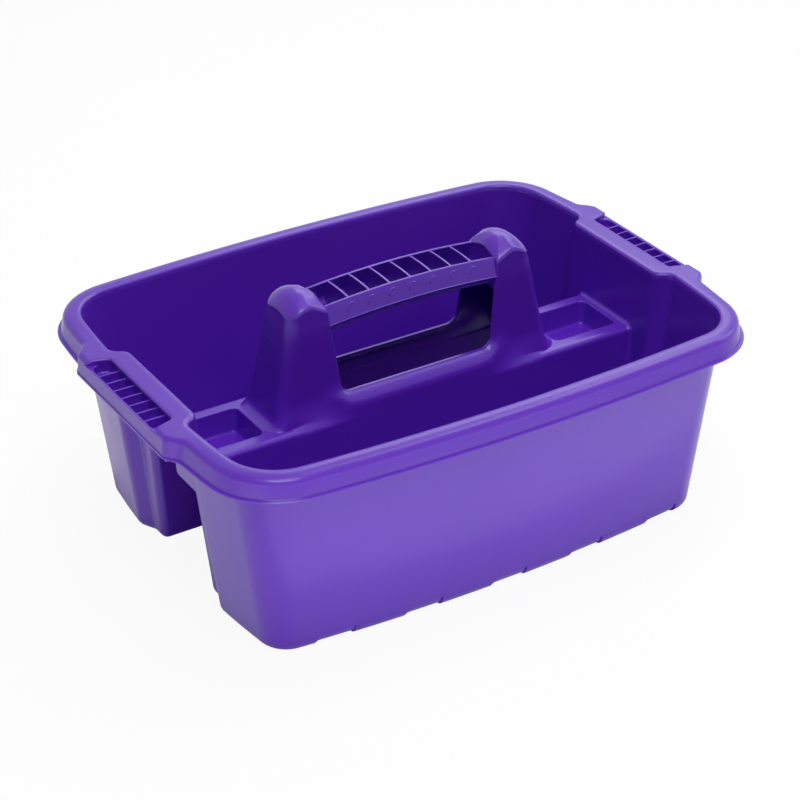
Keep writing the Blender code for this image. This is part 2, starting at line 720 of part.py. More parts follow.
def grip_ribs():
    """Cross walls that divide the grip into cells."""
    profile = full_profile(GRIP_WALL + SEAM)
    for k in range(GRIP_RIBS):
        middle = (k - (GRIP_RIBS - 1) / 2) * GRIP_RIB_PITCH
        loops = []
        for x in (middle - GRIP_RIB_THICK / 2, middle + GRIP_RIB_THICK / 2):
            loops.append([(x, y, z + GRIP_ARCH * (1 - (x / window_x(z)) ** 2))
                          for y, z in profile])
        make(f"grip_rib_{k + 1}", loops, DEEP_PURPLE)


def clear_scene():
    for item in list(bpy.data.objects):
        bpy.data.objects.remove(item, do_unlink=True)


def main():
    clear_scene()
    root = bpy.data.objects.new("grooming_tray", None)
    bpy.context.scene.collection.objects.link(root)
    for end, flip_y in (("front", True), ("rear", False)):
        bin_pan(end + "_bin_floor", flip_y)
        bin_wall(end + "_bin_wall", flip_y)
        channel_wall(end + "_channel_wall", flip_y)
        ridge_wall(end + "_ridge_wall", flip_y)
    make_rims()
    for side, flip_x in (("left", True), ("right", False)):
        handle_band(side + "_handle_band", flip_x)
        handle_pocket(side + "_handle_pocket", flip_x)
        handle_ribs(side + "_handle_rib", flip_x)
        handle_lip(side + "_handle_lip", flip_x)
        end_apron(side + "_end_apron", flip_x)
        shelf(side + "_shelf", flip_x)
        post(side + "_post", flip_x)
        post_inner_wall(side + "_post_inner_wall", flip_x)
        post_cap(side + "_post_cap", flip_x)
    grip_trough()
    grip_ribs()


main()
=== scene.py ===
"""Grooming tray dressed as one continuous purple moulding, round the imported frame.

Metres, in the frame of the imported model: X along the grip, Y from the front bin to the rear
bin, Z up from the face that the tray stands on.
"""
from functools import cache
from math import atan2, cos, hypot, radians, sin, sqrt, tan

import bmesh
import bpy
from mathutils import Matrix, Vector


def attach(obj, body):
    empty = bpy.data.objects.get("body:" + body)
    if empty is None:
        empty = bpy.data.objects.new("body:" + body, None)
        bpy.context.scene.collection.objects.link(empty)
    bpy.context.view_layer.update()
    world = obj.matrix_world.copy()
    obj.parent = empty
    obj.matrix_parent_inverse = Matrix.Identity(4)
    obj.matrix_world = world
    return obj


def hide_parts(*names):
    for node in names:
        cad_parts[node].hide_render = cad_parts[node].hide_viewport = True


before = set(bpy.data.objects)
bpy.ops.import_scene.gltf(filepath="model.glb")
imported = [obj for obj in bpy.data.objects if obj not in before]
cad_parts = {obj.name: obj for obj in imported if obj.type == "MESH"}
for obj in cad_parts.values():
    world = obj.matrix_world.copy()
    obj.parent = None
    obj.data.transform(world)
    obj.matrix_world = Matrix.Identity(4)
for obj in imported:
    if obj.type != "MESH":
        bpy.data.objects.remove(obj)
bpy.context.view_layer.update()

# Moulding
WALL = 0.0025
FOOT_ROUND = 0.0070
HIDE = 0.00002           # how far a face stands back where another covers it
LEAST_ROUND = 0.0006     # smallest radius that a moved corner keeps

# Rim
RIM_TOP = 0.1410
EDGE_X, EDGE_Y = 0.1815, 0.1335
LONG_BOW, SHORT_BOW = 0.29, 0.52
EDGE_CORNER = 0.0325
FLAT_WIDTH = 0.0090
TOP_ROUND = 0.0035
CROWN_WIDTH = 0.0040
CROWN_DROP = 0.0002
CROWN_FALL, FALL_START = 0.0007, 0.3
EDGE_ROUND = 0.0022
SKIRT_DEPTH = 0.0146
SKIRT_LEAN = 0.0017
SKIRT_WALL = 0.0020
FLANGE_REACH = 0.0020
FLANGE_THICK = 0.0015
FLANGE_BEVEL = 0.0006
FLANGE_FILLET, FLANGE_SOFT = 0.0004, 0.0003
RIM_TUCK = 0.0015        # how far the rim's wall reaches down into the bin's

# Bins
BASE_X, BASE_Y = 0.1658, 0.1220
BASE_LONG_BOW, BASE_SHORT_BOW = 0.38, 0.63
BASE_CORNER = 0.0180
BASE_CHANNEL_Y = 0.0355
CHANNEL_LEAN = 0.068
CHANNEL_ROUND, CHANNEL_ARC = 0.0030, 5
RECESS_TOP_X, RECESS_BASE_X = 0.1703, 0.1582
RECESS_HALF = 0.0464
RECESS_RUN_TOP, RECESS_RUN_BASE = 0.0050, 0.0110
RECESS_ROUND = 0.0075
STEP_ARC = 8
CORNER_ARC = 26
SIDE_SHARES = tuple(k / 16 for k in range(1, 16))
SIDE_GAP = 0.0060        # from a recess to the first point of the bowed end wall
BOW_REACH, BOW_POINTS = 0.98, 25
BIN_TUCK = 0.0014        # how far the bin's wall ends below the rim's plate
CHANNEL_TUCK = 0.0018    # how far the channel's wall reaches up into the shelf

# Marks along the foot of the long outer walls
MARK_DEEP, MARK_FADE = 0.0022, 0.3
MARK_TOP, MARK_LONG, MARK_SLANT = 0.0088, 0.0265, 0.0030
MARK_ENDS = (-0.1070, -0.0460, 0.0170, 0.0780, 0.1420)
MARK_BELOW, MARK_PROUD = 0.0010, 0.0060

# Side handles
POCKET_IN_X, POCKET_OUT_X = 0.1850, 0.1976
POCKET_HALF_IN, POCKET_HALF_OUT = 0.0420, 0.0462
POCKET_DEPTH = 0.0095
POCKET_WALL = 0.0020
POCKET_IN_ROUND, POCKET_OUT_ROUND = 0.0030, 0.0055
POCKET_FOOT = ((0.0012, 0.0), (0.0006, 0.0002), (0.0002, 0.0008))
LEDGE_EDGE = ((0.0, 0.0005), (0.0002, 0.0002), (0.0005, 0.0))
POCKET_SIDE = 0.0300
LEDGE_DROP = 0.0036
LEDGE_SIDE, LEDGE_END_X, LEDGE_FAR_X = 0.0600, 0.1980, 0.2060
LEDGE_ROUND, LEDGE_TOP_ROUND = 0.0060, 0.0013
TOOL_RISE, TOOL_SPREAD = 0.0010, 0.0030
HANDLE_RIBS, HANDLE_RIB_PITCH, HANDLE_RIB_THICK = 7, 0.0104, 0.0013
HANDLE_RIB_SINK = 0.0004
HANDLE_RIB_EDGE = ((-0.5, 0.0004), (-0.3, 0.0001), (0.3, 0.0001), (0.5, 0.0004))
HANDLE_RIB_LOW = 0.62
SHOULDER_START, SHOULDER_FULL = 0.0700, 0.0575
SHOULDER_EASE = 0.55     # share of the shoulder from which its outside joins the plain rim
HANDLE_FLANGE = 0.0013
BLOCK_END = 0.0020       # how far the solid block reaches past the pocket's slanted end
BAND_END_Y = 0.0400
FLAT_IN = 0.9            # share of the rim's flat width where its underside starts

# Divider
SHELF_TOP = 0.0945
SHELF_ROUND = 0.0040
SHELF_DEEP = 0.0062
SHELF_IN_X = 0.0915
SHELF_END, SHELF_END_ROUND = 0.0010, 0.0008
SHELF_IN, SHELF_IN_RUN = 0.0006, 0.0030
SHELF_IN_ROUND, SHELF_RUN_ROUND = 0.0003, 0.0100
SHELF_LOW_EDGE = 0.0030
SHELF_FILLET = 0.0030
FILLET_SINK, FILLET_LOW, FILLET_LIP, FILLET_LIFT = 0.0008, 0.0004, 0.0002, 0.00005
FILLET_START, FILLET_BEND = 0.0020, 0.0010  # below the shelf and below its rounded edge
WELL_IN_X, WELL_OUT_X, WELL_HALF = 0.1115, 0.1610, 0.0189
WELL_DEPTH, WELL_TAPER = 0.0165, 0.0012
WELL_ROUND = 0.0045
WELL_FOOT = ((0.0022, 0.0), (0.0010, 0.0003), (0.0003, 0.0011), (0.0, 0.0022))
WELL_EDGE = 0.0009
WELL_WALL, WELL_CHAMFER = 0.0020, 0.0015
SILL_TOP, SILL_HALF = 0.1077, 0.0210
RIDGE_HALF_MID, RIDGE_MID = 0.0289, 0.0970
RIDGE_SAG = 1.05         # height of the shoulder's ellipse, as a share of the shoulder
APRON_LOW, APRON_NOTCH, APRON_NOTCH_TOP = 0.0770, 0.0065, 0.0900
APRON_TUCK, APRON_TOP_GAP, APRON_BEVEL = 0.0045, 0.0013, 0.0006
APRON_LOW_ROUND, APRON_TOP_ROUND, APRON_ARC = 0.0030, 0.0025, 6
DIVIDER_LOW, DIVIDER_SIDE, DIVIDER_TOP = 0.0860, 0.0885, 0.1495
DIVIDER_WALL = 0.0018    # wall of the divider where it shows at the window's edge
RIDGE_END_X = 0.0720
COVER_START = 0.0010     # height on the shelf's side from which the divider covers it
SHELF_TURNS = (0, 20, 38, 54, 68)

# Posts
WINDOW_X, WINDOW_LEAN, WINDOW_ROUND = 0.0570, 0.12, 0.0080
WINDOW_EDGE = 0.0008     # round of the window's edge
POST_TOP, POST_TOP_X, POST_LEAN = 0.1640, 0.0903, 0.20
POST_TOP_HALF, POST_WAIST_HALF, POST_SIDE_LEAN = 0.0174, 0.0184, 0.070
POST_CORNER = 0.0080
POST_FOOT = 0.0066       # reach and height of the fillet between a post and its shelf
FLARE_TOP, FLARE_OUT, FLARE_RUN = 0.1120, 0.0070, 0.0220
FLARE_X, FLARE_Z = (0.0450, 0.0750), (0.1040, 0.1180)  # from ridge to post
FOOT_X, FOOT_SOFT, FOOT_RISE = (0.0760, 0.0940), 0.0015, 0.0020
FOOT_TURNS = (0, 14, 27, 40, 54, 70, 90)
FLARE_HEIGHTS = [0.1035, 0.1063, 0.1095]
POST_START = 0.1130      # lowest of the even rows on a post
EDGE_STEP = 0.0003       # step over which the slope at the window's edge is taken
TUCK_Z, TUCK = 0.1479, 0.0003  # where a post's skin steps back under its head, and how far
HEAD_LOW = 0.1476
HEAD_ROUND = 0.0010
HEAD_HOLLOW = (0.1540, 0.1600, 0.1620)
HEAD_CHAMFER = 0.0015
HEAD_SHARES = (0.4, 0.5, 0.6)
CAP_TOP, CAP_EDGE = 0.1775, 0.1685
CAP_CREST = 0.45         # where a cap is highest, as a share of its width from the grip
CAP_ROUND = 0.0022       # round of the edge between a cap and the sides of its post
CAP_FALL_IN, CAP_FALL_OUT, CAP_FALL_SIDE = 0.0060, 0.0095, 0.0055
CAP_POWER = 2.2
CAP_RIM, CAP_MIDDLE = 0.90, 0.03

# Grip
GRIP_TOP, GRIP_LOW, GRIP_ARCH = 0.1681, 0.1560, 0.0032
GRIP_END_X = WINDOW_X + 0.0059
GRIP_TOP_HALF, GRIP_LOW_HALF = 0.0142, 0.0183
GRIP_BELLY, GRIP_WALL = 0.0092, 0.0020
GRIP_SOFT = 0.0003
GRIP_BELLY_IN = 0.0004   # how far the belly stands in from the parting ridge
GRIP_SINK = 0.0010
GRIP_SHARES = (0.25, 0.5, 0.75, 0.965)
PARTING_OUT, PARTING_HIGH, PARTING_UNDER = 0.0003, 0.0002, 0.0004
GRIP_RIBS, GRIP_RIB_PITCH, GRIP_RIB_THICK = 7, 0.01524, 0.0018
GRIP_RIB_CROWN = 0.0006
GRIP_RIB_EDGE = ((-1.0, 0.0007), (-0.7, 0.0002), (0.7, 0.0002), (1.0, 0.0007))
GRIP_RIB_LOW, GRIP_RIB_LIFT = 1.15, 0.0001
ARC_SHIFT, ARC_DOWN, ARC_RADIUS, ARC_THICK = 0.0006, 0.0062, 0.0031, 0.00045
ARC_START, ARC_END = 215, 40

# View, in metres and degrees
CAMERA_TARGET = (0, 0, 0.0742)
CAMERA_AZIMUTH, CAMERA_ELEVATION, CAMERA_ROLL = -31.9116, 30.5529, -0.09
CAMERA_DISTANCE = 1.4678
CAMERA_LENS, CAMERA_SENSOR = 100.45, 36
SKY_MIRRORED = 0.75
FLOOR_SIZE, FLOOR_GAP = 4.0, 0.0002
FLOOR_GLOW = 0.93
FLOOR_MIRRORED = 0.65
FLOOR_FADE = 0.0120

PLATE_LOW = RIM_TOP - WALL
RIM_LOW = PLATE_LOW - RIM_TUCK
FLANGE_LOW = RIM_TOP - SKIRT_DEPTH
FLANGE_TOP = FLANGE_LOW + FLANGE_THICK
SKIRT_OUT = FLAT_WIDTH + TOP_ROUND
SKIRT_LOW_OUT = SKIRT_OUT + SKIRT_LEAN
FLANGE_OUT = SKIRT_LOW_OUT + FLANGE_REACH
SHELF_LOW = SHELF_TOP - SHELF_DEEP
POCKET_FLOOR = RIM_TOP - POCKET_DEPTH
POCKET_LOW = POCKET_FLOOR - POCKET_WALL
LEDGE_TOP = RIM_TOP - LEDGE_DROP


# Plan outlines

def blend(a, b, share):
    return a + (b - a) * share


def eased(value, low, high):
    """0 up to `low`, 1 from `high` on, and a smooth rise between them."""
    share = min(max((value - low) / (high - low), 0.0), 1.0)
    return share * share * (3 - 2 * share)


def spread(first, last, count):
    return [blend(first, last, i / (count - 1)) for i in range(count)]


def quarter(count):
    """Angles spread from 0 to 90 degrees."""
    return [radians(a) for a in spread(0, 90, count)]


def grown(corners, out):
    """Move a closed line of (x, y, radius, steps) corners to the right of its run."""
    moved = []
    for i, (x, y, radius, steps) in enumerate(corners):
        before, after = corners[i - 1], corners[(i + 1) % len(corners)]
        runs = ((x - before[0], y - before[1]), (after[0] - x, after[1] - y))
        (ax, ay), (bx, by) = [(dy / hypot(dx, dy), -dx / hypot(dx, dy)) for dx, dy in runs]
        share = 1 + ax * bx + ay * by
        nx, ny = (ax + bx) / share, (ay + by) / share
        if radius:
            bends_left = ax * by > ay * bx
            radius = max(radius + (out if bends_left else -out), LEAST_ROUND)
        moved.append((x + out * nx, y + out * ny, radius, steps))
    return moved


def rounded(corners):
    """Replace each corner of a closed line that has a radius by an arc of its steps."""
    points = []
    for i, (x, y, radius, steps) in enumerate(corners):
        if not radius:
            points.append((x, y))
            continue
        px, py = corners[i - 1][:2]
        qx, qy = corners[(i + 1) % len(corners)][:2]
        a, b = hypot(x - px, y - py), hypot(qx - x, qy - y)
        ux, uy = (x - px) / a, (y - py) / a
        vx, vy = (qx - x) / b, (qy - y) / b
        turn = atan2(ux * vy - uy * vx, ux * vx + uy * vy)
        reach = radius * tan(abs(turn) / 2)
        side = 1 if turn > 0 else -1
        cx = x - ux * reach - uy * radius * side
        cy = y - uy * reach + ux * radius * side
        start = atan2(y - uy * reach - cy, x - ux * reach - cx)
        for k in range(steps + 1):
            angle = start + turn * k / steps
            points.append((cx + radius * cos(angle), cy + radius * sin(angle)))
    return points


def channel_y(z):
    return BASE_CHANNEL_Y - CHANNEL_LEAN * z


def recess_x(z):
    return blend(RECESS_BASE_X, RECESS_TOP_X, z / RIM_TOP)


def bin_corners(z):
    """Inside face of a bin from one recess beside a handle round to the other."""
    t = z / RIM_TOP
    end_x, front_y = blend(BASE_X, EDGE_X, t), blend(BASE_Y, EDGE_Y, t)
    long_bow, short_bow = blend(BASE_LONG_BOW, LONG_BOW, t), blend(BASE_SHORT_BOW, SHORT_BOW, t)
    x, y = end_x, front_y
    for _ in range(8):
        x = end_x - short_bow * y * y
        y = front_y - long_bow * x * x
    step_y = RECESS_HALF + blend(RECESS_RUN_BASE, RECESS_RUN_TOP, t)
    half = [(recess_x(z), RECESS_HALF, RECESS_ROUND, STEP_ARC),
            (end_x - short_bow * step_y ** 2, step_y, RECESS_ROUND, STEP_ARC)]
    for share in SIDE_SHARES:
        side_y = blend(step_y + SIDE_GAP, y - EDGE_CORNER, share)
        half.append((end_x - short_bow * side_y ** 2, side_y, 0, 0))
    half.append((x, y, blend(BASE_CORNER, EDGE_CORNER, t), CORNER_ARC))
    reach = x - EDGE_CORNER
    bow = [(s * reach, front_y - long_bow * (s * reach) ** 2, 0, 0)
           for s in spread(BOW_REACH, -BOW_REACH, BOW_POINTS)]
    other = [(-px, py, r, n) for px, py, r, n in reversed(half)]
    return half + bow + other


@cache
def edge_line(z, out=0.0):
    """Rim line offset outward from a bin's inside face, from one recess round to the other."""
    x = recess_x(z)
    corners = [(x, 0, 0, 0)] + bin_corners(z) + [(-x, 0, 0, 0)]
    return rounded(grown(corners, out))[1:-1]


def bin_line(z, out):
    """Plan of a bin's wall moved outward; its first and last corners are the channel's."""
    x, y = recess_x(z), channel_y(z)
    corners = [(x, y, CHANNEL_ROUND, CHANNEL_ARC)] + bin_corners(z)
    corners.append((-x, y, CHANNEL_ROUND, CHANNEL_ARC))
    return rounded(grown(corners, out))


def flat(points, z):
    return [(x, y, z) for x, y in points]


def mirrored(rows, x=1, y=1):
    """The same rows of points with X or Y multiplied by -1 where asked."""
    return [[(x * px, y * py, z) for px, py, z in row] for row in rows]


def curve(first, corner, last, t):
    """Point on the quadratic curve from the first to the last point."""
    return tuple((1 - t) ** 2 * p + 2 * t * (1 - t) * q + t * t * r
                 for p, q, r in zip(first, corner, last))


# Meshes

def lofted(rows, wrap=False):
    """Mesh through closed loops of points, shut at both ends or joined round into a ring."""
    bm = bmesh.new()
    grid = [[bm.verts.new(point) for point in row] for row in rows]
    pairs = list(zip(grid, grid[1:]))
    if wrap:
        pairs.append((grid[-1], grid[0]))
    for near, far in pairs:
        for i in range(len(near)):
            j = (i + 1) % len(near)
            bm.faces.new((near[i], near[j], far[j], far[i]))
    if not wrap:
        bm.faces.new(grid[0])
        bm.faces.new(grid[-1])
    bmesh.ops.remove_doubles(bm, verts=bm.verts, dist=1e-7)
    bmesh.ops.recalc_face_normals(bm, faces=bm.faces)
    return bm


def add_sheet(bm, rows):
    """Open sheet of faces through rows of points."""
    grid = [[bm.verts.new(point) for point in row] for row in rows]
    for near, far in zip(grid, grid[1:]):
        for i in range(len(near) - 1):
            bm.faces.new((near[i], near[i + 1], far[i + 1], far[i]))


def as_object(name, bm):
    mesh = bpy.data.meshes.new(name)
    bm.to_mesh(mesh)
    bm.free()
    made = bpy.data.objects.new(name, mesh)
    bpy.context.scene.collection.objects.link(made)
    return made


def gathered(name, parts):
    """One object from several meshes."""
    bm = bmesh.new()
    for part in parts:
        mesh = bpy.data.meshes.new(name)
        part.to_mesh(mesh)
        part.free()
        bm.from_mesh(mesh)
        bpy.data.meshes.remove(mesh)
    return as_object(name, bm)


def applied(piece):
    """Put the result of a piece's modifiers in its mesh."""
    bpy.context.view_layer.update()
    graph = bpy.context.evaluated_depsgraph_get()
    mesh = bpy.data.meshes.new_from_object(piece.evaluated_get(graph))
    piece.modifiers.clear()
    old, piece.data = piece.data, mesh
    bpy.data.meshes.remove(old)


def cut(piece, *tools):
    """Take the tools' volumes out of a piece."""
    for tool in tools:
        change = piece.modifiers.new("cut", "BOOLEAN")
        change.operation = "DIFFERENCE"
        change.solver = "EXACT"
        change.object = tool
    applied(piece)
    for tool in tools:
        bpy.data.objects.remove(tool, do_unlink=True)


def bevelled(piece, width):
    """Bevel a piece's sharp edges."""
    edge = piece.modifiers.new("edges", "BEVEL")
    edge.width = width
    edge.segments = 2
    edge.limit_method = "ANGLE"
    edge.angle_limit = radians(50)
    applied(piece)


def dress(piece, *nodes, angle=34):
    """Shade a finished piece, give it the plastic and put it in the frame."""
    piece.data.shade_smooth()
    piece.data.set_sharp_from_angle(angle=radians(angle))
    normals = piece.modifiers.new("normals", "WEIGHTED_NORMAL")
    normals.keep_sharp = True
    piece.data.materials.clear()
    piece.data.materials.append(PLASTIC)
    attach(piece, "root")
    if nodes:
        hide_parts(*nodes)


# Plastic

def make_plastic():
    """Satin purple plastic, slightly uneven in its colour, gloss and surface."""
    material = bpy.data.materials.new("satin_purple_plastic")
    material.use_nodes = True
    nodes, links = material.node_tree.nodes, material.node_tree.links
    shader = nodes["Principled BSDF"]
    place = nodes.new("ShaderNodeTexCoord")

    def noise(scale, detail):
        node = nodes.new("ShaderNodeTexNoise")
        node.inputs["Scale"].default_value = scale
        node.inputs["Detail"].default_value = detail
        links.new(place.outputs["Object"], node.inputs["Vector"])
        return node.outputs["Fac"]

    def mapped(value, low, high):
        node = nodes.new("ShaderNodeMapRange")
        node.inputs["From Min"].default_value = 0.3
        node.inputs["From Max"].default_value = 0.7
        node.inputs["To Min"].default_value = low
        node.inputs["To Max"].default_value = high
        links.new(value, node.inputs["Value"])
        return node.outputs["Result"]

    tint = nodes.new("ShaderNodeMix")
    tint.data_type = "RGBA"
    tint.inputs["A"].default_value = (0.092, 0.0112, 0.425, 1)
    tint.inputs["B"].default_value = (0.101, 0.0134, 0.452, 1)
    links.new(mapped(noise(9.0, 3.0), 0.0, 1.0), tint.inputs["Factor"])
    links.new(tint.outputs["Result"], shader.inputs["Base Color"])

    links.new(mapped(noise(30.0, 1.0), 0.225, 0.265), shader.inputs["Roughness"])
    shader.inputs["IOR"].default_value = 1.49
    shader.inputs["Specular IOR Level"].default_value = 0.5
    shader.inputs["Coat Weight"].default_value = 0.35
    shader.inputs["Coat Roughness"].default_value = 0.55

    broad = joined(nodes, links, "MULTIPLY", noise(11.0, 1.0), 7.0)
    bump = nodes.new("ShaderNodeBump")
    bump.inputs["Strength"].default_value = 1.0
    bump.inputs["Distance"].default_value = 0.0001
    links.new(joined(nodes, links, "ADD", broad, noise(48.0, 1.0)), bump.inputs["Height"])
    links.new(bump.outputs["Normal"], shader.inputs["Normal"])
    return material


def joined(nodes, links, operation, first, second):
    """Result of a math node fed by two values, each a socket or a number."""
    node = nodes.new("ShaderNodeMath")
    node.operation = operation
    for socket, value in zip(node.inputs, (first, second)):
        if isinstance(value, float):
            socket.default_value = value
        else:
            links.new(value, socket)
    return node.outputs["Value"]


PLASTIC = make_plastic()


# Rim with its handle blocks

def handle_outer(y, reach):
    """X of the widened rim beside a handle, for a reach measured as on the plain rim."""
    plain = EDGE_X - SHORT_BOW * y * y + reach
    past = reach - SKIRT_OUT
    if past > 0:
        past *= HANDLE_FLANGE / (FLANGE_OUT - SKIRT_OUT)
    full = POCKET_OUT_X + POCKET_WALL + past
    return blend(full, plain, eased(y, SHOULDER_FULL, SHOULDER_START))


def pocket_end_y(x, out=0.0):
    """Y of a pocket's slanted end wall, or of a line at a distance outside it."""
    slope = (POCKET_HALF_OUT - POCKET_HALF_IN) / (POCKET_OUT_X - POCKET_IN_X)
    return POCKET_HALF_IN + slope * (x - POCKET_IN_X) + out * hypot(1, slope)


def rim_stations():
    """Places of the rim's sections from the middle of a handle to the middle of a long run.

    Each is its kind, the Y of its outside, its share of the shoulder and its rim line's index.
    """
    line = edge_line(RIM_TOP)
    shoulder_end = 2 * (STEP_ARC + 1) + len(SIDE_SHARES)
    run = [(RECESS_TOP_X, BAND_END_Y)] + line[:shoulder_end + 1]
    lengths = [0.0]
    for (ax, ay), (bx, by) in zip(run, run[1:]):
        lengths.append(lengths[-1] + hypot(bx - ax, by - ay))
    end_y = line[shoulder_end][1]

    stations = [("handle", y, 0.0, 0) for y in spread(0.0, BAND_END_Y, 6)]
    for i in range(shoulder_end):
        share = lengths[i + 1] / lengths[-1]
        stations.append(("shoulder", blend(BAND_END_Y, end_y, share), share, i))
    stations += [("plain", 0.0, 1.0, i) for i in range(shoulder_end, len(line) // 2 + 1)]
    return stations


def rim_section(kind, far, share, i):
    """Closed section of the rim, up its inside, over the top, round the flange and back."""
    def inner(out, z):
        if kind == "handle":
            return RECESS_TOP_X + out, far, z
        return (*edge_line(RIM_TOP, out)[i], z)

    def outer(reach, z):
        if kind == "plain":
            return (*edge_line(RIM_TOP, reach)[i], z)
        x, y = handle_outer(far, reach), far
        if kind == "shoulder":
            px, py = edge_line(RIM_TOP, reach)[i]
            ease = eased(share, SHOULDER_EASE, 1.0)
            x, y = blend(x, px, ease), blend(y, py, ease)
        return x, y, z

    low = (recess_x(RIM_LOW), far) if kind == "handle" else edge_line(RIM_LOW)[i]
    edge_low = RIM_TOP - CROWN_DROP - EDGE_ROUND
    points = [(*low, RIM_LOW), inner(0.0, edge_low)]
    for a in quarter(6)[1:]:
        points.append(inner(EDGE_ROUND * (1 - cos(a)), edge_low + EDGE_ROUND * sin(a)))
    for part in (0.35, 0.6, 0.8):
        points.append(inner(blend(EDGE_ROUND, CROWN_WIDTH, part),
                            RIM_TOP - CROWN_DROP * (1 - part) ** 1.6))
    crown, rim = inner(CROWN_WIDTH, RIM_TOP), outer(FLAT_WIDTH, RIM_TOP)
    points.append(crown)
    fall = CROWN_FALL * eased(share, FALL_START, 1.0)
    for part in (0.35, 0.65):
        points.append((blend(crown[0], rim[0], part), blend(crown[1], rim[1], part),
                       RIM_TOP - fall * part ** 2))
    turn = atan2(2 * fall, FLAT_WIDTH - CROWN_WIDTH)
    radius = TOP_ROUND / (1 - sin(turn))
    for a in spread(turn, radians(90), 8):
        points.append(outer(FLAT_WIDTH + radius * (sin(a) - sin(turn)),
                            RIM_TOP - fall - radius * (cos(turn) - cos(a))))
    points += [outer(blend(SKIRT_OUT, SKIRT_LOW_OUT, 0.5), blend(LEDGE_TOP, FLANGE_TOP, 0.5)),
               outer(SKIRT_LOW_OUT, FLANGE_TOP + FLANGE_FILLET),
               outer(SKIRT_LOW_OUT + FLANGE_FILLET, FLANGE_TOP),
               outer(FLANGE_OUT - FLANGE_BEVEL, FLANGE_TOP),
               outer(FLANGE_OUT, FLANGE_TOP - FLANGE_BEVEL),
               outer(FLANGE_OUT, FLANGE_LOW + FLANGE_SOFT),
               outer(FLANGE_OUT - FLANGE_SOFT, FLANGE_LOW),
               outer(SKIRT_LOW_OUT - SKIRT_WALL, FLANGE_LOW)]
    if kind != "plain" and far < pocket_end_y(POCKET_OUT_X, BLOCK_END):
        block_x = POCKET_IN_X - POCKET_WALL
        points += [(POCKET_OUT_X, far, POCKET_LOW), (block_x, far, POCKET_LOW),
                   (block_x, far, PLATE_LOW)]
    else:
        skirt_in = SKIRT_OUT - SKIRT_WALL
        points += [outer(skirt_in, PLATE_LOW), outer(blend(FLAT_WIDTH, skirt_in, 0.5), PLATE_LOW),
                   outer(FLAT_WIDTH * FLAT_IN, PLATE_LOW)]
    return points + [inner(WALL, PLATE_LOW), inner(WALL, RIM_LOW)]


def pocket_line(out, far, corner, end_x, end_y):
    """Plan of a pocket moved outward: slanted ends to `end_x`, then straight on to `far`."""
    half = [(POCKET_IN_X, POCKET_HALF_IN), (end_x, pocket_end_y(end_x)), (far, end_y)]
    corners = [(x, -y, 0, 0) for x, y in half] + [(x, y, 0, 0) for x, y in reversed(half)]
    turns = [(POCKET_IN_ROUND, 5), (corner, 8), (0, 0)]
    turns += turns[::-1]
    return rounded([(x, y, r, n) for (x, y, _, _), (r, n) in zip(grown(corners, out), turns)])


def pocket_tool(side):
    """Volume of one handle pocket and of the step down to its outer wall."""
    def pocket(out, more, z):
        far = POCKET_OUT_X + more
        return flat(pocket_line(out, far, POCKET_OUT_ROUND, far, POCKET_SIDE), z)

    def step(out, z):
        return flat(pocket_line(out, LEDGE_FAR_X, LEDGE_ROUND, LEDGE_END_X, LEDGE_SIDE), z)

    rows = [pocket(-inward, 0.0, POCKET_FLOOR + up) for inward, up in POCKET_FOOT]
    rows += [pocket(0.0, more, LEDGE_TOP - down) for more, down in LEDGE_EDGE]
    rows.append(step(0.0, LEDGE_TOP))
    rows += [step(LEDGE_TOP_ROUND * (1 - cos(a)), RIM_TOP - LEDGE_TOP_ROUND * (1 - sin(a)))
             for a in quarter(5)]
    rows.append(step(TOOL_SPREAD, RIM_TOP + TOOL_RISE))
    return as_object("pocket_tool", lofted(mirrored(rows, x=side)))


def make_rim():
    """The whole rim as one ring, with both handle pockets cut from its solid blocks."""
    sections = [rim_section(*station) for station in rim_stations()]
    ring = sections + mirrored(sections, x=-1)[-2::-1]
    ring += mirrored(sections, x=-1, y=-1)[1:] + mirrored(sections, y=-1)[-2:0:-1]
    rim = as_object("rim", lofted(ring, wrap=True))
    cut(rim, pocket_tool(1), pocket_tool(-1))
    nodes = ["front_rim", "rear_rim"]
    nodes += [f"{end}_{side}_rim_corner" for end in ("front", "rear") for side in ("left", "right")]
    nodes += [f"{side}_handle_{what}" for side in ("left", "right")
              for what in ("band", "pocket", "lip")]
    dress(rim, *nodes, angle=30)


# Bins

def outer_y(x, z):
    """Outside of a bin's long wall, with its rounded foot."""
    out = WALL
    if z < FOOT_ROUND:
        drop = FOOT_ROUND - max(z, 0.0)
        out += sqrt(FOOT_ROUND ** 2 - drop ** 2) - FOOT_ROUND
    t = z / RIM_TOP
    return blend(BASE_Y, EDGE_Y, t) - blend(BASE_LONG_BOW, LONG_BOW, t) * x * x + out


def mark_tool(end_x, sign):
    """Volume of one foot mark: slanted at its left end, square at its right one."""
    rows = []
    for z in [-MARK_BELOW] + spread(0.0, MARK_TOP, 12):
        up = max(z, 0.0) / MARK_TOP
        xs = spread(end_x - MARK_LONG + MARK_SLANT * eased(up, 0.0, 1.0) ** 2, end_x, 8)
        deep = MARK_DEEP * blend(1.0, MARK_FADE, up)
        rows.append([(x, outer_y(x, z) - deep, z) for x in xs]
                    + [(x, outer_y(x, z) + MARK_PROUD, z) for x in reversed(xs)])
    return as_object("mark_tool", lofted(mirrored(rows, y=sign)))


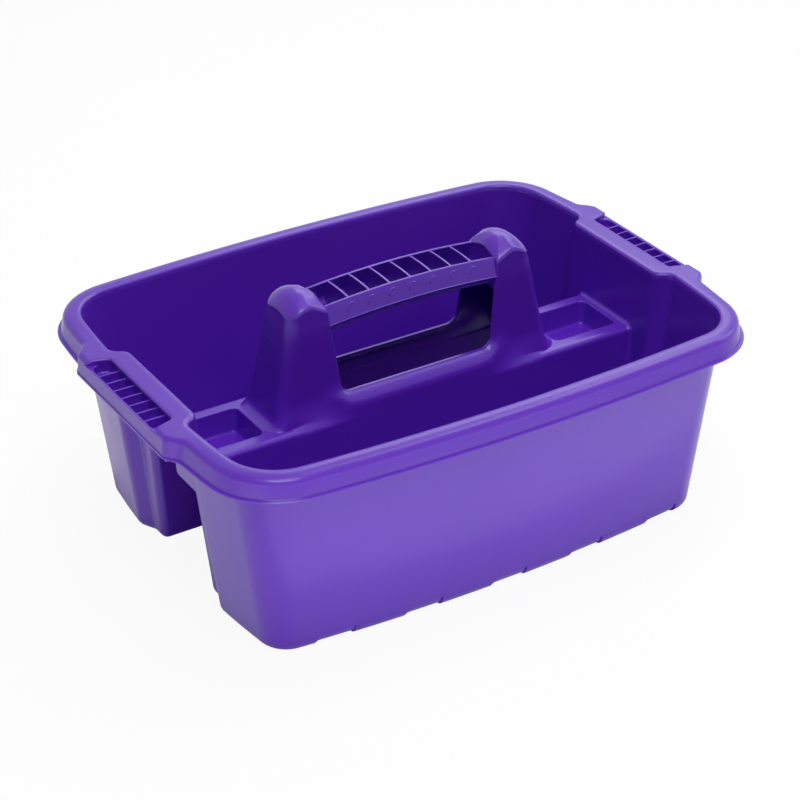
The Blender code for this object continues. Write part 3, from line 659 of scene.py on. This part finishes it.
def make_bin(end, sign):
    """Tub of one bin, with its four walls, its rounded foot and the marks along it."""
    channel_top = SHELF_LOW + CHANNEL_TUCK

    def ring(z, out):
        low = min(z, channel_top)
        line, base = flat(bin_line(z, out), z), flat(bin_line(low, out), low)
        return base[:CHANNEL_ARC] + line[CHANNEL_ARC:-CHANNEL_ARC] + base[-CHANNEL_ARC:]

    def foot(radius, floor, a):
        return ring(floor + radius * (1 - cos(a)), WALL - FOOT_ROUND + radius * sin(a))

    turns = quarter(8)
    heights = spread(FOOT_ROUND, channel_top, 5)[1:]
    heights += spread(channel_top, PLATE_LOW - BIN_TUCK, 4)[1:]
    rows = [foot(FOOT_ROUND, 0.0, a) for a in turns]
    rows += [ring(z, WALL) for z in heights]
    rows += [ring(z, 0.0) for z in reversed(heights)]
    rows += [foot(FOOT_ROUND - WALL, WALL, a) for a in reversed(turns)]
    tub = as_object(end + "_bin", lofted(mirrored(rows, y=sign)))
    cut(tub, *[mark_tool(x, sign) for x in MARK_ENDS])
    dress(tub, end + "_bin_floor", end + "_bin_wall", end + "_channel_wall", angle=40)


# Divider

def make_end_wall(side, sign):
    """End wall between the two bins, notched below."""
    low, top = APRON_LOW, PLATE_LOW - APRON_TOP_GAP
    half = [(channel_y(low) + APRON_TUCK, low, 0, 0),
            (APRON_NOTCH, low, APRON_LOW_ROUND, APRON_ARC),
            (APRON_NOTCH, APRON_NOTCH_TOP, APRON_TOP_ROUND, APRON_ARC)]
    corners = [(-y, z, r, n) for y, z, r, n in half] + half[::-1]
    corners += [(y * (channel_y(top) + APRON_TUCK), top, 0, 0) for y in (1, -1)]
    rows = [[(sign * (recess_x(z) + depth), y, z) for y, z in rounded(corners)]
            for depth in (HIDE, WALL - HIDE)]
    wall = as_object(side + "_end_wall", lofted(rows))
    bevelled(wall, APRON_BEVEL)
    dress(wall, side + "_end_apron")


def shelf_line(x0, x1, half):
    """Plan of a shelf plate, drawn in a little where its end lies inside the divider."""
    corners = [(x0, -half + SHELF_IN, SHELF_IN_ROUND, 3),
               (x0 + SHELF_IN_RUN, -half, SHELF_RUN_ROUND, 4),
               (x1, -half, SHELF_END_ROUND, 8)]
    return rounded(corners + [(x, -y, r, n) for x, y, r, n in reversed(corners)])


def make_shelf(side, sign):
    """Shelf at one end of the divider, with its small well."""
    def well(z, out):
        corners = [(x, y * WELL_HALF, WELL_ROUND, 8)
                   for x, y in ((WELL_IN_X, -1), (WELL_OUT_X, -1), (WELL_OUT_X, 1), (WELL_IN_X, 1))]
        return flat(rounded(grown(corners, out)), z)

    def plate(z, edge, wall=0.0):
        half = channel_y(min(z, SHELF_TOP - SHELF_ROUND)) + HIDE - edge - wall
        return flat(shelf_line(SHELF_IN_X + wall, recess_x(z) + SHELF_END - wall, half), z)

    floor, plate_low = SHELF_TOP - WELL_DEPTH, SHELF_TOP - WALL
    below = WELL_WALL - WELL_TAPER
    rows = [well(floor + up, -WELL_TAPER - inward) for inward, up in WELL_FOOT]
    rows += [well(SHELF_TOP - WELL_EDGE * (1 - sin(a)), WELL_EDGE * (1 - cos(a)))
             for a in quarter(4)]
    rows += [plate(SHELF_TOP - SHELF_ROUND * (1 - cos(a)), SHELF_ROUND * (1 - sin(a)))
             for a in quarter(9)]
    rows += [plate(SHELF_LOW, 0.0), plate(SHELF_LOW, 0.0, WALL),
             plate(plate_low, SHELF_LOW_EDGE, WALL), well(plate_low, WELL_WALL),
             well(floor, below), well(floor - WELL_WALL, below - WELL_CHAMFER)]
    shelf = as_object(side + "_shelf_and_well", lofted(mirrored(rows, x=sign)))
    dress(shelf, side + "_shelf", angle=30)


def make_shelf_fillet(side, sign):
    """Fillet that runs up one channel corner, across the shelf and down the other."""
    round_z = SHELF_TOP - SHELF_ROUND
    path = [(channel_y(z), z, radians(90))
            for z in (SHELF_LOW - FILLET_START, round_z - FILLET_BEND)]
    for b in quarter(10)[::-1]:
        path.append((channel_y(round_z) - SHELF_ROUND * (1 - sin(b)),
                     SHELF_TOP - SHELF_ROUND * (1 - cos(b)), b))
    path += [(-y, z, -b) for y, z, b in reversed(path)]
    profile = [(SHELF_FILLET + FILLET_LIP, -FILLET_LOW), (SHELF_FILLET, FILLET_LIFT)]
    profile += [(SHELF_FILLET * (1 - sin(a)), SHELF_FILLET * (1 - cos(a))) for a in quarter(8)[1:]]
    profile += [(-FILLET_SINK, SHELF_FILLET), (-FILLET_SINK, -FILLET_LOW)]
    rows = []
    for y, z, b in path:
        section = []
        for gap, height in profile:
            pz = z + height * cos(b)
            section.append((recess_x(pz) - gap, y + height * sin(b), pz))
        rows.append(section)
    dress(as_object(side + "_shelf_fillet", lofted(mirrored(rows, x=sign))))


def post_half(z):
    """Half depth of a post's outside at a height, with its flare into the ridge."""
    if z >= GRIP_LOW:
        return blend(POST_WAIST_HALF, POST_TOP_HALF, (z - GRIP_LOW) / (POST_TOP - GRIP_LOW))
    half = POST_WAIST_HALF + POST_SIDE_LEAN * (GRIP_LOW - z)
    if z < FLARE_TOP:
        half += FLARE_OUT * ((FLARE_TOP - z) / FLARE_RUN) ** 2
    return half


def ridge_half(z):
    """Half depth of the ridge between the posts, with its rounded shoulder."""
    if z <= RIDGE_MID:
        return blend(channel_y(SHELF_LOW) + 2 * HIDE, RIDGE_HALF_MID,
                     (z - SHELF_LOW) / (RIDGE_MID - SHELF_LOW))
    rise = (min(z, SILL_TOP) - RIDGE_MID) / (SILL_TOP - RIDGE_MID)
    sag, most = [1 - sqrt(1 - (part / RIDGE_SAG) ** 2) for part in (rise, 1.0)]
    return RIDGE_HALF_MID - (RIDGE_HALF_MID - SILL_HALF) * sag / most


def window_x(z):
    return WINDOW_X + WINDOW_LEAN * (z - SILL_TOP - WINDOW_ROUND)


def gap_to_window(x, z):
    """Distance outward from the window's outline."""
    corner_x, corner_z = WINDOW_X - WINDOW_ROUND, SILL_TOP + WINDOW_ROUND
    if x <= corner_x:
        return SILL_TOP - z
    if z <= corner_z:
        return hypot(x - corner_x, z - corner_z) - WINDOW_ROUND
    return x - window_x(z)


def foot_half(z, half):
    """Half depth where a post runs out into its shelf, along the shelf's rounded edge."""
    drop = min(max(SHELF_TOP - z, 0.0), SHELF_ROUND)
    edge = channel_y(SHELF_TOP - SHELF_ROUND) - SHELF_ROUND
    edge += sqrt(SHELF_ROUND ** 2 - (SHELF_ROUND - drop) ** 2)
    if z < SHELF_TOP - SHELF_ROUND:
        edge = half
    soft = (half + edge - hypot(half - edge, FOOT_SOFT)) / 2
    return blend(edge, soft, eased(z, SHELF_TOP, SHELF_TOP + FOOT_RISE))


def face_half(x, z):
    """Half depth of the divider's outside; the ridge's shoulder follows the window's outline."""
    gap = max(gap_to_window(x, z), 0.0)
    post = 1 - (1 - eased(x, *FLARE_X)) * (1 - eased(z, *FLARE_Z))
    half = blend(ridge_half(SILL_TOP - gap), post_half(z), post)
    half = min(half, channel_y(z) + (HIDE / 2 if z > SHELF_LOW + COVER_START else -HIDE))
    return blend(half, foot_half(z, half), eased(x, *FOOT_X))


def post_out(z):
    """Outer face of a post and the radius of its vertical corners."""
    x = POST_TOP_X + POST_LEAN * (POST_TOP - z)
    height = min(max(z - SHELF_TOP, 0.0), POST_FOOT)
    out = POST_FOOT - sqrt(POST_FOOT ** 2 - (POST_FOOT - height) ** 2)
    return x + out, POST_CORNER + out


def post_side_x(z):
    """Where a post's front face ends and its rounded corner starts."""
    out, corner = post_out(z)
    return out - corner


def post_heights():
    """Heights of the rows round a post: those of its foot and flare, then those above."""
    foot = [SHELF_TOP + POST_FOOT * (1 - cos(radians(a))) for a in FOOT_TURNS]
    above = spread(POST_START, TUCK_Z, 13) + [TUCK_Z + TUCK, DIVIDER_TOP]
    return foot + FLARE_HEIGHTS, above


def divider_lines():
    """Lines over a quarter of the divider's face, from the window's edge to the outside."""
    corner_x, corner_z = WINDOW_X - WINDOW_ROUND, SILL_TOP + WINDOW_ROUND
    foot, above = post_heights()
    lines = [((x, SILL_TOP), (x * RIDGE_END_X / corner_x, DIVIDER_LOW))
             for x in spread(0.0, corner_x, 15)[:-1]]

    side_x = post_side_x(SHELF_TOP)
    ends = [(x, DIVIDER_LOW) for x in spread(RIDGE_END_X, side_x, 6)]
    ends.append((side_x, DIVIDER_SIDE))
    ends += [(side_x, SHELF_TOP - SHELF_ROUND * (1 - sin(radians(b)))) for b in SHELF_TURNS]
    ends += [(post_side_x(z), z) for z in foot]
    for k, end in enumerate(ends):
        a = radians(90 * k / len(ends))
        start = (corner_x + WINDOW_ROUND * sin(a), corner_z - WINDOW_ROUND * cos(a))
        lines.append((start, end))

    for z in above:
        window_z = z
        if z < TUCK_Z:
            window_z = blend(corner_z, TUCK_Z, (z - above[0]) / (TUCK_Z - above[0]))
        lines.append(((window_x(window_z), window_z), (post_side_x(z), z)))
    return lines


def sunk(z):
    """How far the divider's skin stands back at a height."""
    return TUCK if z > TUCK_Z + TUCK / 2 else 0.0


def face_row(line):
    """Points over the divider's face along a line, from inside its rounded window edge."""
    (wx, wz), (ox, oz) = line
    length = hypot(ox - wx, oz - wz)

    def point(along, deeper=0.0):
        share = along / length
        x, z = blend(wx, ox, share), blend(wz, oz, share)
        return x + sunk(z) * (1 - share), -(face_half(x, z) - sunk(z) - deeper), z

    rise = (point(0.0)[1] - point(EDGE_STEP)[1]) / EDGE_STEP
    start = WINDOW_EDGE / hypot(1, rise)
    row = [point(0.0, DIVIDER_WALL)]
    row += [curve(point(0.0, WINDOW_EDGE), point(0.0), point(start), t) for t in spread(0, 1, 5)]
    return row + [point(blend(start, length, (k / 24) ** 1.3)) for k in range(1, 25)]


def corner_row(z):
    """Points round a post's corner and along its outer face to the middle."""
    corner, start = post_out(z)[1], post_side_x(z)
    half = face_half(start, z) - sunk(z)
    row = [(start + (corner - sunk(z)) * sin(b), -half + corner * (1 - cos(b)), z)
           for b in quarter(11)]
    x, y, _ = row[-1]
    return row + [(x, y * share, z) for share in (0.66, 0.33, 0.0)]


def make_divider():
    """Ridge and both posts as one hollow skin round the window."""
    foot, above = post_heights()
    sheets = ([face_row(line) for line in divider_lines()], [corner_row(z) for z in foot + above])
    bm = bmesh.new()
    for x in (1, -1):
        for y in (1, -1):
            for rows in sheets:
                add_sheet(bm, mirrored(rows, x, y))
    bmesh.ops.remove_doubles(bm, verts=bm.verts, dist=2e-6)
    bmesh.ops.recalc_face_normals(bm, faces=bm.faces)
    front = min(bm.faces, key=lambda face: face.calc_center_median().y)
    if front.normal.y > 0:
        bmesh.ops.reverse_faces(bm, faces=bm.faces)
    divider = as_object("divider", bm)
    skin = divider.modifiers.new("skin", "SOLIDIFY")
    skin.thickness = DIVIDER_WALL
    skin.offset = -1
    applied(divider)
    dress(divider, "front_ridge_wall", "rear_ridge_wall", "left_post", "right_post", angle=40)


def head_line(z, wall=0.0):
    """Plan of a post's outside at a height, with points along its straight sides too."""
    x0, x1, half = window_x(z), post_out(z)[0] + HIDE, post_half(min(z, POST_TOP)) + HIDE
    corners = [(x0, -half, HEAD_ROUND, 5), (x1, -half, POST_CORNER, 12),
               (x1, half, POST_CORNER, 12), (x0, half, HEAD_ROUND, 5)]
    line = []
    for corner, following in zip(corners, corners[1:] + corners[:1]):
        line.append(corner)
        line += [(blend(corner[0], following[0], share), blend(corner[1], following[1], share), 0, 0)
                 for share in HEAD_SHARES]
    return rounded(grown(line, -wall))


def cap_crest():
    """X of a cap's highest line and of its inner and outer edges."""
    x0, x1 = window_x(CAP_EDGE), post_out(POST_TOP)[0]
    return blend(x0, x1, CAP_CREST), x0, x1


def cap_height(x, y):
    """Height of the dome: highest near the grip, falling to all four sides of the post."""
    crest, x0, x1 = cap_crest()
    if x < crest:
        fall = CAP_FALL_IN * (min(crest - x, crest - x0) / (crest - x0)) ** CAP_POWER
    else:
        fall = CAP_FALL_OUT * (min(x - crest, x1 - crest) / (x1 - crest)) ** CAP_POWER
    return CAP_TOP - fall - CAP_FALL_SIDE * (abs(y) / POST_TOP_HALF) ** CAP_POWER


def make_post_head(side, sign):
    """Top of a post with its domed cap."""
    rim = head_line(POST_TOP)
    edge = [(x, y, cap_height(x, y)) for x, y in rim]

    def dome(share):
        plan = [(blend(cap_crest()[0], x, share), y * share) for x, y in rim]
        return [(x, y, cap_height(x, y)) for x, y in plan]

    rows = []
    for share in spread(0, 1, 6):
        heights = [blend(HEAD_LOW, top - CAP_ROUND, share) for *_, top in edge]
        rows.append([(*head_line(z)[i], z) for i, z in enumerate(heights)])
    low, high = rows[-1], dome(CAP_RIM)
    rows += [[curve(*points, t) for points in zip(low, edge, high)] for t in spread(0, 1, 7)[1:]]
    rows += [dome(share) for share in spread(CAP_RIM, CAP_MIDDLE, 20)[1:]]
    rows.reverse()
    rows += [flat(head_line(z, WALL), z) for z in (HEAD_LOW, *HEAD_HOLLOW[:-1])]
    rows.append(flat(head_line(HEAD_HOLLOW[-1], WALL + HEAD_CHAMFER), HEAD_HOLLOW[-1]))
    head = as_object(side + "_post_head", lofted(mirrored(rows, x=sign)))
    dress(head, side + "_post_cap", side + "_post_inner_wall", angle=40)


# Grip

def arch(x):
    return GRIP_ARCH * (1 - (x / GRIP_END_X) ** 2)


def make_grip():
    """Arched trough with rails on top, a parting ridge and a rounded belly."""
    outer = [(GRIP_TOP_HALF - GRIP_SOFT, GRIP_TOP), (GRIP_TOP_HALF, GRIP_TOP - GRIP_SOFT)]
    outer += [(blend(GRIP_TOP_HALF, GRIP_LOW_HALF, share), blend(GRIP_TOP, GRIP_LOW, share))
              for share in GRIP_SHARES]
    outer += [(GRIP_LOW_HALF + PARTING_OUT, GRIP_LOW + PARTING_HIGH),
              (GRIP_LOW_HALF + PARTING_OUT, GRIP_LOW - PARTING_HIGH),
              (GRIP_LOW_HALF - PARTING_OUT, GRIP_LOW - PARTING_UNDER)]
    inner = [(GRIP_TOP_HALF - GRIP_WALL + GRIP_SOFT, GRIP_TOP),
             (GRIP_TOP_HALF - GRIP_WALL, GRIP_TOP - GRIP_SOFT), (GRIP_LOW_HALF - GRIP_WALL, GRIP_LOW)]
    for line, wall, first, count in ((outer, 0.0, 6, 10), (inner, GRIP_WALL, 8, 9)):
        half = GRIP_LOW_HALF - GRIP_BELLY_IN - wall
        for a in spread(first, 90, count):
            line.append((half * cos(radians(a)), GRIP_LOW - (GRIP_BELLY - wall) * sin(radians(a))))
        line += [(-y, z) for y, z in reversed(line[:-1])]
    rows = []
    for share in spread(-1, 1, 49):
        section = [(share * (window_x(z) + GRIP_SINK), y, z) for y, z in outer + inner[::-1]]
        rows.append([(x, y, z + arch(x)) for x, y, z in section])
    dress(as_object("grip", lofted(rows)), "grip_trough", angle=40)


def row_middles(count, pitch):
    """Middles of a number of equal things set out evenly about zero."""
    return [(k - (count - 1) / 2) * pitch for k in range(count)]


def grip_rib(middle):
    """Mesh of one cross rib of the grip, from its rounded underside to its crowned top."""
    rows = []
    for y in spread(-1, 1, 13):
        half = GRIP_TOP_HALF - 0.6 * GRIP_WALL
        section = [(x, y * half, GRIP_TOP - down + GRIP_RIB_CROWN * (1 - y * y))
                   for x, down in GRIP_RIB_EDGE]
        half = GRIP_LOW_HALF - 0.6 * GRIP_WALL
        low = GRIP_LOW - (GRIP_BELLY - 0.5 * GRIP_WALL) * sqrt(1 - y * y) + GRIP_RIB_LIFT
        section.insert(0, (-GRIP_RIB_LOW, y * half, low))
        section.append((GRIP_RIB_LOW, y * half, low))
        placed = [(middle + x * GRIP_RIB_THICK / 2, py, z) for x, py, z in section]
        rows.append([(x, py, z + arch(x)) for x, py, z in placed])
    return lofted(rows)


def make_grip_ribs():
    ribs = gathered("grip_ribs", [grip_rib(x) for x in row_middles(GRIP_RIBS, GRIP_RIB_PITCH)])
    dress(ribs, *[f"grip_rib_{k + 1}" for k in range(GRIP_RIBS)])


def grip_arc(middle, side):
    """Mesh of one raised arc on a side of the grip, thinning out to its ends."""
    slope = (GRIP_LOW_HALF - GRIP_TOP_HALF) / (GRIP_TOP - GRIP_LOW)
    rows = []
    for t in spread(0, 1, 17):
        a = radians(blend(ARC_START, ARC_END, t))
        thick = ARC_THICK * min(1.0, 5 * t + 0.15, 5 * (1 - t) + 0.15)
        row = []
        for b in [radians(b) for b in spread(0, 300, 6)]:
            r = ARC_RADIUS + thick * cos(b)
            x, down = middle + r * cos(a), ARC_DOWN - r * sin(a)
            y = GRIP_TOP_HALF + slope * down + 1.2 * thick * sin(b)
            row.append((x, side * y, GRIP_TOP - down + arch(x)))
        rows.append(row)
    return lofted(rows)


def make_grip_marks():
    """Thin raised arcs on the grip's sides, one below the end of each rib."""
    arcs = [grip_arc(x + ARC_SHIFT, side) for side in (-1, 1)
            for x in row_middles(GRIP_RIBS, GRIP_RIB_PITCH)]
    dress(gathered("grip_marks", arcs))


def make_handle_ribs(side, sign):
    """Thin ribs across the pocket of a side handle."""
    section = [(-HANDLE_RIB_LOW, POCKET_FLOOR - HANDLE_RIB_SINK)]
    section += [(y, LEDGE_TOP - down) for y, down in HANDLE_RIB_EDGE]
    section.append((HANDLE_RIB_LOW, POCKET_FLOOR - HANDLE_RIB_SINK))
    ribs = []
    for middle in row_middles(HANDLE_RIBS, HANDLE_RIB_PITCH):
        rows = [[(x, middle + y * HANDLE_RIB_THICK, z) for y, z in section]
                for x in (POCKET_IN_X - HANDLE_RIB_SINK, POCKET_OUT_X + HANDLE_RIB_SINK)]
        ribs.append(lofted(mirrored(rows, x=sign)))
    dress(gathered(side + "_handle_ribs", ribs),
          *[f"{side}_handle_rib_{k + 1}" for k in range(HANDLE_RIBS)])


# Camera, light and floor

def make_camera():
    camera = bpy.data.objects.new("camera", bpy.data.cameras.new("camera"))
    bpy.context.scene.collection.objects.link(camera)
    azimuth, elevation = radians(CAMERA_AZIMUTH), radians(CAMERA_ELEVATION)
    back = Vector((sin(azimuth) * cos(elevation), -cos(azimuth) * cos(elevation), sin(elevation)))
    place = Matrix.Translation(Vector(CAMERA_TARGET) + back * CAMERA_DISTANCE)
    turn = (-back).to_track_quat("-Z", "Y").to_matrix().to_4x4()
    camera.matrix_world = place @ turn @ Matrix.Rotation(radians(CAMERA_ROLL), 4, "Z")
    camera.data.lens = CAMERA_LENS
    camera.data.sensor_width = CAMERA_SENSOR
    camera.data.clip_start, camera.data.clip_end = 0.05, 50
    bpy.context.scene.camera = camera


def make_light(name, location, size, power, target=(0, 0, 0.07), size_y=None, reflected=True):
    """Soft lamp aimed at a target; it is left out of mirror images where asked."""
    lamp = bpy.data.lights.new(name, "AREA")
    lamp.shape = "RECTANGLE"
    lamp.size = size
    lamp.size_y = size_y or size
    lamp.energy = power
    light = bpy.data.objects.new(name, lamp)
    light.location = location
    light.visible_glossy = reflected
    light.rotation_mode = "QUATERNION"
    light.rotation_quaternion = (Vector(target) - Vector(location)).to_track_quat("-Z", "Y")
    bpy.context.scene.collection.objects.link(light)


def make_lights():
    """Broad lamps above, and low ones for the outer walls."""
    make_light("top", (0.0, -0.2, 2.4), 1.4, 25, reflected=False)
    make_light("top_front", (-0.5, -1.2, 2.0), 1.2, 20)
    make_light("top_back", (0.6, 1.7, 1.6), 2.0, 8, reflected=False)
    make_light("near_back", (0.58, 0.60, 0.78), 0.66, 1.7, (0, -0.15, 0.14), 0.42)
    make_light("top_right", (1.3, 0.2, 2.0), 1.2, 9)
    make_light("right", (2.2, -0.4, 1.3), 1.2, 8)
    make_light("front_floor", (-0.35, -0.51, 0.001), 1.40, 1.6, (-0.35, -0.51, 1.0), 0.68)
    make_light("front_low", (-0.3, -0.42, 0.010), 1.3, 0.8, (-0.3, 0, 0.060), 0.03, reflected=False)
    make_light("left_low", (-0.52, -0.1, 0.010), 0.9, 0.4, (0, -0.1, 0.060), 0.03, reflected=False)


def rays(nodes, links):
    """1 for rays from the camera, and 1 for mirrored and refracted ones."""
    path = nodes.new("ShaderNodeLightPath").outputs
    reflected = joined(nodes, links, "MAXIMUM", path["Is Glossy Ray"], path["Is Transmission Ray"])
    return path["Is Camera Ray"], reflected


def make_world():
    """White where it is seen, a little less where mirrored; it gives the tray no other light."""
    world = bpy.data.worlds.new("studio")
    bpy.context.scene.world = world
    world.use_nodes = True
    nodes, links = world.node_tree.nodes, world.node_tree.links
    back = nodes["Background"]
    back.inputs["Color"].default_value = (1, 1, 1, 1)
    camera, reflected = rays(nodes, links)
    reflected = joined(nodes, links, "MULTIPLY", reflected, SKY_MIRRORED)
    links.new(joined(nodes, links, "MAXIMUM", camera, reflected), back.inputs["Strength"])


def clear_of_painted_shadow(nodes, links):
    """0 under the tray, rising to 1 just outside its foot; it paints the tray's shadow into the
    floor's mirrored glow.
    """
    place = nodes.new("ShaderNodeTexCoord")
    apart = nodes.new("ShaderNodeSeparateXYZ")
    links.new(place.outputs["Object"], apart.inputs["Vector"])
    sides = []
    for axis, edge in (("X", BASE_X), ("Y", BASE_Y)):
        size = joined(nodes, links, "ABSOLUTE", apart.outputs[axis], 0.0)
        past = nodes.new("ShaderNodeMapRange")
        past.inputs["From Min"].default_value = edge - FLOOR_FADE
        past.inputs["From Max"].default_value = edge + FLOOR_FADE
        links.new(size, past.inputs["Value"])
        sides.append(past.outputs["Result"])
    return joined(nodes, links, "MAXIMUM", *sides)


def make_floor_material():
    """Pale surface that glows where it is seen or mirrored; under the tray its mirrored glow is left
    out as painted shade.
    """
    material = bpy.data.materials.new("pale_floor")
    material.use_nodes = True
    nodes, links = material.node_tree.nodes, material.node_tree.links
    shader = nodes["Principled BSDF"]
    shader.inputs["Base Color"].default_value = (0.86, 0.86, 0.87, 1)
    shader.inputs["Roughness"].default_value = 0.9
    glow = nodes.new("ShaderNodeEmission")
    camera, reflected = rays(nodes, links)
    # painted shadow: the floor's glow in mirror images fades out under the tray
    reflected = joined(nodes, links, "MULTIPLY", reflected, clear_of_painted_shadow(nodes, links))
    reflected = joined(nodes, links, "MULTIPLY", reflected, FLOOR_MIRRORED)
    camera = joined(nodes, links, "MULTIPLY", camera, FLOOR_GLOW)
    mix = nodes.new("ShaderNodeMixShader")
    links.new(joined(nodes, links, "MAXIMUM", camera, reflected), mix.inputs["Fac"])
    links.new(shader.outputs["BSDF"], mix.inputs[1])
    links.new(glow.outputs["Emission"], mix.inputs[2])
    links.new(mix.outputs["Shader"], nodes["Material Output"].inputs["Surface"])
    return material


def make_floor():
    """Pale floor that shows nearly white and keeps the tray's shadow."""
    bm = bmesh.new()
    bmesh.ops.create_grid(bm, x_segments=1, y_segments=1, size=FLOOR_SIZE)
    floor = as_object("floor", bm)
    floor.location = (0, 0, -FLOOR_GAP)
    floor.data.materials.append(make_floor_material())


make_rim()
make_bin("rear", 1)
make_bin("front", -1)
make_divider()
make_grip()
make_grip_ribs()
make_grip_marks()
for side, sign in (("right", 1), ("left", -1)):
    make_end_wall(side, sign)
    make_shelf(side, sign)
    make_shelf_fillet(side, sign)
    make_post_head(side, sign)
    make_handle_ribs(side, sign)
make_camera()
make_world()
make_floor()
make_lights()
bpy.context.scene.view_settings.view_transform = "Standard"
